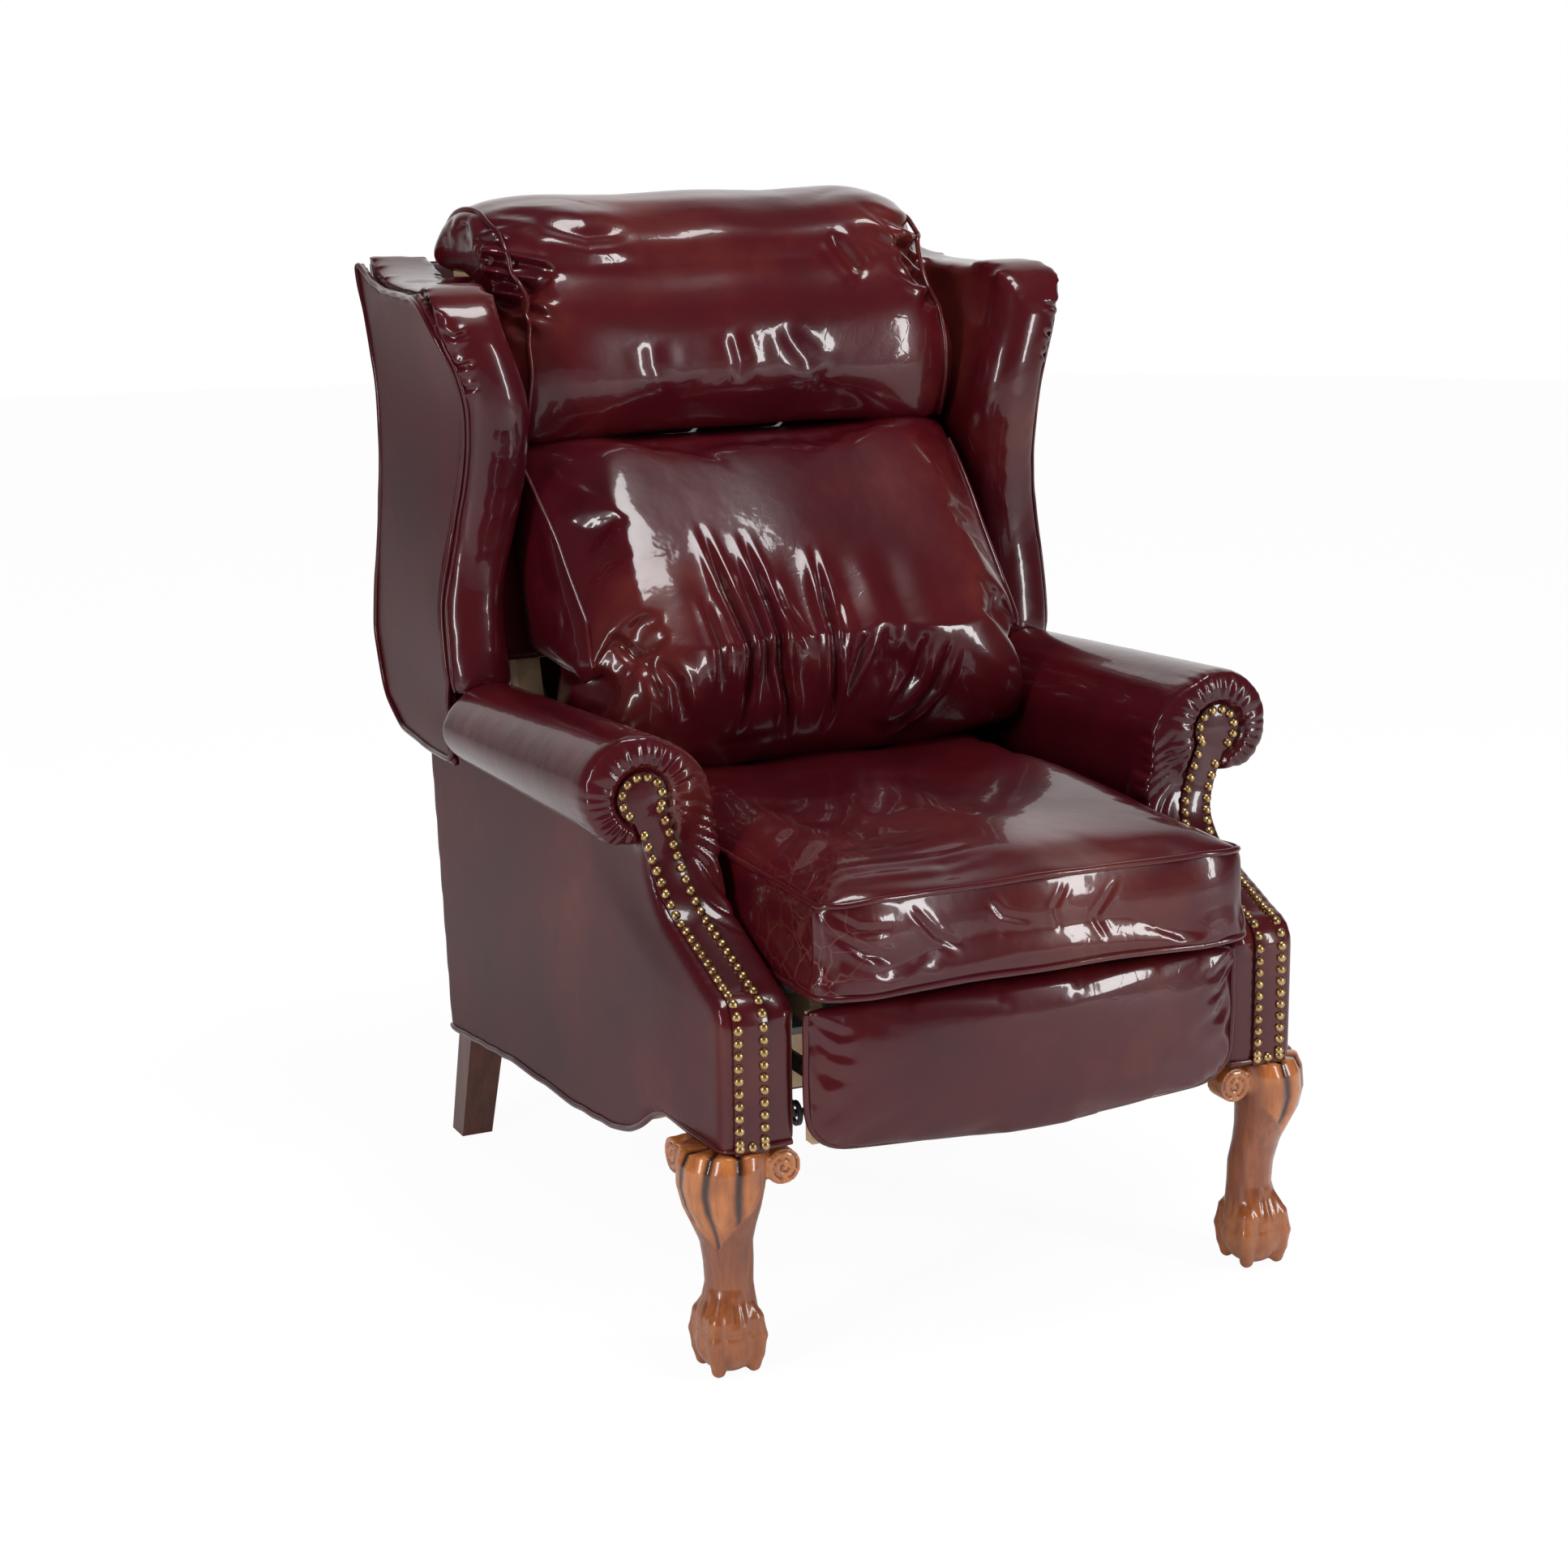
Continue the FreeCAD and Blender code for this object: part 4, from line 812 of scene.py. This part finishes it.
# %% [markdown]
# A wing has a flat outside panel, and a soft roll round its front and top that stands proud
# of it. A double welt follows the seam between them, and the roll has tucks at its bend. The
# inside hide runs on as a flap over the front of the post, behind the lumbar pad.
# %% Wings
station_z = (0.503, 0.560, 0.605, 0.690, 0.780, 0.850, 0.910, 0.965, 1.010, 1.062)
station_y = (0.163, 0.164, 0.166, 0.181, 0.173, 0.155, 0.144, 0.146, 0.152, 0.158)
station_x = (0.378, 0.381, 0.383, 0.382, 0.366, 0.359, 0.362, 0.378, 0.390, 0.390)
wing_edge = [(float(np.interp(z, station_z, station_x)), float(np.interp(z, station_z, station_y)),
              float(z))
             for z in np.linspace(0.512, 0.955, 24)]
wing_edge += [(0.385, 0.158, 0.985), (0.387, 0.178, 1.003), (0.386, 0.205, 1.014),
              (0.383, 0.250, 1.020), (0.380, 0.330, 1.021), (0.375, 0.410, 1.025),
              (0.368, 0.460, 1.036), (0.365, 0.492, 1.045), (0.364, 0.480, 1.010),
              (0.364, 0.458, 0.965), (0.364, 0.440, 0.910), (0.364, 0.434, 0.850),
              (0.364, 0.440, 0.780), (0.364, 0.460, 0.690), (0.364, 0.474, 0.610),
              (0.364, 0.440, 0.535), (0.366, 0.372, 0.508), (0.374, 0.250, 0.506)]
roll_out, roll_forward, top_out = 0.008, 0.004, 0.006
flap_middle, flap_size, flap_lean = (0.268, 0.2715, 0.820), (0.066, 0.010, 0.430), 0.26
second_out, second_forward = 0.006, 0.007


def rolled(place, normal):
    """The roll reaches forward and out over the edge of the panel."""
    hand = np.sign(place[:, 0])
    edge_x = np.interp(place[:, 2], station_z, station_x)
    edge_y = np.interp(place[:, 2], station_z, station_y)
    near = 1 - smooth_step(place[:, 1] - edge_y, 0.0, 0.045)
    outer = smooth_step(hand * place[:, 0] - edge_x, -0.050, -0.018)
    change = np.zeros_like(place)
    change[:, 0] = hand * roll_out * near * outer
    change[:, 1] = -roll_forward * near
    upper = smooth_step(place[:, 2], 0.99, 1.02) * smooth_step(normal[:, 2], 0.2, 0.7)
    change[:, 0] += hand * top_out * upper * outer
    return change


def tucked_in(place, normal):
    """The panel's front edge lies behind the roll."""
    edge_y = np.interp(place[:, 2], station_z, station_y)
    change = np.zeros_like(place)
    change[:, 1] = np.maximum(edge_y + 0.005 - place[:, 1], 0.0)
    change[:, 2] = -0.004 * smooth_step(place[:, 2], 1.00, 1.015)
    return change


wing_tucks = [([(0.393, 0.992), (0.372, 0.982), (0.352, 0.988)], 0.0028, 0.0030),
              ([(0.386, 0.962), (0.368, 0.950), (0.350, 0.956)], 0.0028, 0.0035),
              ([(0.376, 0.935), (0.360, 0.926), (0.346, 0.930)], 0.0026, 0.0020)]
for side, hand in (("left", -1), ("right", 1)):
    made = bmesh.new()
    made.from_mesh(nodes["wing_pad_" + side].data)
    lean = Matrix.Identity(4)
    lean[1][2] = flap_lean
    x, y, z = flap_middle
    flap = Matrix.Translation((hand * x, y, z)) @ lean @ Matrix.Diagonal((*flap_size, 1))
    bmesh.ops.create_cube(made, size=1.0, matrix=flap)
    wing = linked("wing_cover_" + side, made)
    remeshed(wing, 0.008, 3)
    finer(wing)
    shaped(wing, rolled)
    pressed(wing, [([(hand * x, z) for x, z in line], *size) for line, *size in wing_tucks])
    finished(wing, leather, "back", soft_slot, "wing_pad_" + side)
    panel = copied("wing_back_" + side, "outside_wing_panel_" + side)
    remeshed(panel, 0.004, 4)
    shaped(panel, tucked_in)
    place, normal = points_of(panel.data)
    painted(panel, "dull", smooth_step(hand * normal[:, 0], 0.5, 0.9))
    finished(panel, leather, "back", soft_slot, "outside_wing_panel_" + side)
    skins = skin_of(wing, panel)
    welt("wing_welt_" + side, [[(hand * x, y, z) for x, y, z in wing_edge]], "back", 0.0034, skins,
         closed=True)
    second = [(hand * (x - second_out), y - second_forward, z) for x, y, z in wing_edge[4:30]]
    welt("wing_piping_" + side, [second], "back", 0.0022, skins)

back = copied("outside_back_cover", "outside_back_panel")
remeshed(back, 0.005, 4)
finished(back, leather, "back", soft_slot, "outside_back_panel")
rear = copied("rear_base_cover", "rear_base_panel")
remeshed(rear, 0.004, 4)
finished(rear, leather, "base", soft_slot, "rear_base_panel")
for piece in (back, rear):
    painted(piece, "dull", np.ones(len(piece.data.vertices)))

# %% [markdown]
# The nailed strip is a narrow band of hide. Its nailheads are small domes: each CAD nail is
# found as its own island, and its flat base gives the dome its place and direction.
# %% Nails and strips


def islands(mesh):
    """Groups of faces that hang together."""
    made = bmesh.new()
    made.from_mesh(mesh)
    bmesh.ops.remove_doubles(made, verts=made.verts, dist=merge_distance)
    left = set(made.faces)
    while left:
        group = [left.pop()]
        for face in group:
            for edge in face.edges:
                for other in edge.link_faces:
                    if other in left:
                        left.remove(other)
                        group.append(other)
        yield group
    made.free()


def seat_of(group):
    """Centre and outward direction of one nail, from its widest flat side."""
    sides = {}
    for face in group:
        key = tuple(round(c, 2) for c in face.normal)
        area, centre = sides.get(key, (0.0, Vector()))
        sides[key] = (area + face.calc_area(), centre + face.calc_center_median() * face.calc_area())
    key, (area, centre) = max(sides.items(), key=lambda item: item[1][0])
    return centre / area, -Vector(key).normalized()


nail_radius, nail_flatness, nail_base = 0.0052, 0.78, -0.0012
for side in ("left", "right"):
    heads = bmesh.new()
    for group in islands(nodes["nailheads_" + side].data):
        centre, outward = seat_of(group)
        turn = outward.to_track_quat("Z", "Y").to_matrix().to_4x4()
        squash = Matrix.Diagonal((1, 1, nail_flatness, 1))
        made = bmesh.ops.create_uvsphere(heads, u_segments=12, v_segments=8, radius=nail_radius,
                                         matrix=Matrix.Translation(centre) @ turn @ squash)
        low_half = [v for v in made["verts"] if (v.co - centre).dot(outward) < nail_base]
        bmesh.ops.delete(heads, geom=low_half, context="VERTS")
    domes = linked("brass_nails_" + side, heads)
    finished(domes, finishes["antique_brass"], "base", "antique_brass", "nailheads_" + side)
    strip = copied("nailed_band_" + side, "nail_strip_" + side)
    soften = strip.modifiers.new("edge", "BEVEL")
    soften.width = 0.0009
    soften.segments = 2
    soften.limit_method = "ANGLE"
    keep_result(strip)
    finished(strip, leather, "base", soft_slot, "nail_strip_" + side)

# %% [markdown]
# The seat deck is black cloth over the springs, with a short skirt down its front edge that
# hides the rail. The dust cover is black cloth stapled under the base.
# %% Deck and dust cover
low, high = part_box("seat_deck")
made = bmesh.new()
made.from_mesh(nodes["seat_deck"].data)
skirt_size, skirt_drop = (0.41, 0.006, 0.044), 0.018
skirt_middle = (0.0, low.y + skirt_size[1] / 2, low.z - skirt_drop)
skirt = Matrix.Translation(skirt_middle) @ Matrix.Diagonal((*skirt_size, 1))
bmesh.ops.create_cube(made, size=1.0, matrix=skirt)
deck = linked("seat_deck_cover", made)
remeshed(deck, 0.004, 2)
finished(deck, finishes["cloth"], "seat", "cloth", "seat_deck")

low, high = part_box("dust_cover")
made = bmesh.new()
bmesh.ops.create_grid(made, x_segments=30, y_segments=24, size=0.5)
for vertex in made.verts:
    x = low.x + (vertex.co.x + 0.5) * (high.x - low.x)
    y = low.y + (vertex.co.y + 0.5) * (high.y - low.y)
    z = np.interp(y, (low.y, low.y + 0.022, high.y - 0.072, high.y),
                  (high.z, high.z, low.z + 0.002, low.z + 0.002))
    sag = 0.003 * math.cos(math.pi * vertex.co.x) * math.cos(math.pi * vertex.co.y)
    vertex.co = (x, y, z - 0.0006 - sag)
dust = linked("dust_cover_cloth", made)
thick = dust.modifiers.new("thick", "SOLIDIFY")
thick.thickness = 0.0008
keep_result(dust)
finished(dust, finishes["cloth"], "base", "cloth", "dust_cover")

# %% [markdown]
# The front legs are carved. Rings give the knee, ankle and foot, a ball and four toes are
# joined to them, and each ear ends in a scroll. Then flutes and spirals are carved in, and two
# attributes tell the finish where to paint the carving lighter, as if lit, and where to paint
# shade into the grooves.
# %% Front legs
leg_x, leg_y, knee_top = 0.310, -0.413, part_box("front_leg_right")[1].z
# height, outward shift, half width along the outward diagonal, half width across it
leg_rings = [(knee_top, 0.006, 0.036, 0.044), (0.222, 0.011, 0.038, 0.046),
             (0.200, 0.014, 0.037, 0.045), (0.178, 0.012, 0.034, 0.040), (0.158, 0.007, 0.029, 0.033),
             (0.138, 0.001, 0.025, 0.027), (0.115, -0.004, 0.0245, 0.0255),
             (0.092, -0.005, 0.0240, 0.0245), (0.076, -0.003, 0.027, 0.0275),
             (0.062, 0.0, 0.031, 0.031), (0.048, 0.0, 0.033, 0.033)]
toe_joints = [(0.016, 0.078, 0.0090), (0.027, 0.058, 0.0115), (0.031, 0.040, 0.0115),
              (0.030, 0.022, 0.0095), (0.027, 0.009, 0.0080)]
ring_points = 32
ball_radius = 0.0335
toe_share = 0.92  # of its joints' radius, between them
ear_radius = 0.0185
spiral_pitch = 0.0075
flute_depth, spiral_depth, sinew_depth = 0.0030, 0.0022, 0.0014
ear_centres = ((-0.048, -0.020, 0.216), (0.024, 0.046, 0.216))


def tube(made, start, end, radius_start, radius_end):
    """Closed cone between two points."""
    start, end = Vector(start), Vector(end)
    run = end - start
    place = Matrix.Translation((start + end) / 2) @ run.to_track_quat("Z", "Y").to_matrix().to_4x4()
    bmesh.ops.create_cone(made, cap_ends=True, segments=20, radius1=radius_start, radius2=radius_end,
                          depth=run.length, matrix=place)


def leg_form():
    """The uncarved right leg about its own upright axis, as overlapping closed pieces."""
    made = bmesh.new()
    out, across = Vector((1, -1, 0)).normalized(), Vector((1, 1, 0)).normalized()
    rings = []
    for z, shift, along, side in leg_rings:
        spots = [out * (shift + along * math.cos(a)) + across * side * math.sin(a) + Vector((0, 0, z))
                 for a in (math.tau * step / ring_points for step in range(ring_points))]
        rings.append([made.verts.new(spot) for spot in spots])
    for above, below in zip(rings, rings[1:]):
        for step in range(ring_points):
            following = (step + 1) % ring_points
            made.faces.new((above[step], below[step], below[following], above[following]))
    made.faces.new(rings[0])
    made.faces.new(list(reversed(rings[-1])))
    bmesh.ops.recalc_face_normals(made, faces=made.faces)
    bmesh.ops.create_uvsphere(made, u_segments=32, v_segments=20, radius=ball_radius,
                              matrix=Matrix.Translation((0, 0, ball_radius)))
    for turn in range(4):
        way = Matrix.Rotation(math.radians(90 * turn), 3, "Z") @ out
        for (d0, z0, r0), (d1, z1, r1) in zip(toe_joints, toe_joints[1:]):
            start, end = way * d0 + Vector((0, 0, z0)), way * d1 + Vector((0, 0, z1))
            tube(made, start, end, r0 * toe_share, r1 * toe_share)
            bmesh.ops.create_icosphere(made, subdivisions=2, radius=r1, matrix=Matrix.Translation(end))
    for (x, y, z), (wide, deep) in zip(ear_centres, ((0.0, 0.014), (0.014, 0.0))):
        centre = Vector((x, y, z))
        half = Vector((wide, deep, 0))
        tube(made, centre - half, centre + half, ear_radius, ear_radius)
        web = Matrix.Translation((x * 0.5, y * 0.5, z + 0.004)) @ Matrix.Diagonal(
            (abs(x) + 0.012 if deep else 0.026, abs(y) + 0.012 if wide else 0.026, 0.030, 1))
        bmesh.ops.create_cube(made, size=1.0, matrix=web)
    return made


def carve(place, normal):
    """Depth of the cuts, and how far each point belongs to the carved part of the knee, which the finish
    paints lighter as if lit.
    """
    x, y, z = place[:, 0], place[:, 1], place[:, 2]
    around = np.arctan2(x + y, x - y)
    border = 0.132 + 0.052 * np.abs(around) / 1.1
    knee = smooth_step(z, border - 0.001, border + 0.003) * smooth_step(-np.abs(around), -1.30, -1.15)
    sides = smooth_step(normal[:, 2], -0.75, -0.35)
    flute = np.abs(np.sin(around * 4.6 + 0.25 * np.sin(z * 55.0))) ** 0.75
    depth = (1 - flute) * flute_depth * knee * sides
    ears = np.zeros(len(place))
    for (ex, ey, ez), along in zip(ear_centres, (0, 1)):
        u, v = (x - ex, z - ez) if along == 0 else (y - ey, z - ez)
        off = np.abs(y - ey) if along == 0 else np.abs(x - ex)
        radius = np.hypot(u, v)
        turn = np.arctan2(v, u) * (1 if along else -1)
        winding = (radius - 0.003 - spiral_pitch * turn / math.tau) / spiral_pitch
        gap = np.abs(winding % 1.0 - 0.5) * spiral_pitch
        flat = smooth_step(np.abs(normal[:, 1 - along]), 0.5, 0.9)
        near = smooth_step(-radius, -0.019, -0.0165) * smooth_step(-off, -0.022, -0.015) * flat
        spiral = smooth_step(gap, spiral_pitch * 0.5 - 0.0016, spiral_pitch * 0.5 - 0.0002)
        depth = np.where(near > 0.01, spiral * spiral_depth * near, depth)
        ear = smooth_step(-radius, -0.026, -0.019) * smooth_step(-off, -0.028, -0.020)
        ears = np.maximum(ears, ear)
    foot = np.abs(np.abs(around % (math.pi / 2) - math.pi / 4) - 0.16)
    sinew = np.exp(-(foot / 0.10) ** 2) * smooth_step(z, 0.052, 0.062)
    depth = depth + sinew * (1 - smooth_step(z, 0.074, 0.088)) * sinew_depth
    claw = 0.45 * (1 - smooth_step(z, 0.060, 0.085))
    return depth, np.maximum(np.maximum(knee, ears), claw)


for side, hand in (("left", -1), ("right", 1)):
    leg = linked("carved_leg_" + side, leg_form())
    remeshed(leg, 0.0021, 3)
    place, normal = points_of(leg.data)
    depth, lit_carving = carve(place, normal)
    place = place - normal * depth[:, None]
    place[:, 2] = np.clip(place[:, 2], 0.0, knee_top)
    place += (leg_x, leg_y, 0.0)
    place[:, 0] *= hand
    set_points(leg.data, place)
    if hand < 0:
        leg.data.flip_normals()
    # Painted shade in the grooves, by the depth of the cut.
    painted(leg, "groove", smooth_step(depth, 0.0006, 0.0024))
    # Painted light: where the finish makes the carving lighter, as if lit.
    painted(leg, "lit_carving", lit_carving)
    finished(leg, finishes["carved_wood"], "base", "carved_wood", "front_leg_" + side)

# %% [markdown]
# The floor is a wide pale sheet. Seen by the camera it is mostly plain white, as paper in a
# studio is, and its diffuse share keeps the chair's shadow.
# %% Floor
made = bmesh.new()
bmesh.ops.create_circle(made, cap_ends=True, radius=9.0, segments=96)
floor = linked("floor", made)
pale = Finish("pale_floor", 0.9)
pale.wear("Base Color", (0.93, 0.93, 0.93, 1.0))
seen = pale.add("LightPath")
paper_glow, paper_share = 1.03, 0.92
glow = pale.add("Emission", Strength=paper_glow)
blend = pale.add("MixShader")
either = pale.maths("MAXIMUM", seen.outputs["Is Camera Ray"], seen.outputs["Is Transmission Ray"])
pale.put(blend, 0, pale.maths("MULTIPLY", either, paper_share))
pale.put(blend, 1, pale.shader.outputs[0])
pale.put(blend, 2, glow.outputs[0])
pale.tree.links.new(blend.outputs[0], pale.tree.nodes["Material Output"].inputs["Surface"])
floor.data.materials.append(pale.material)
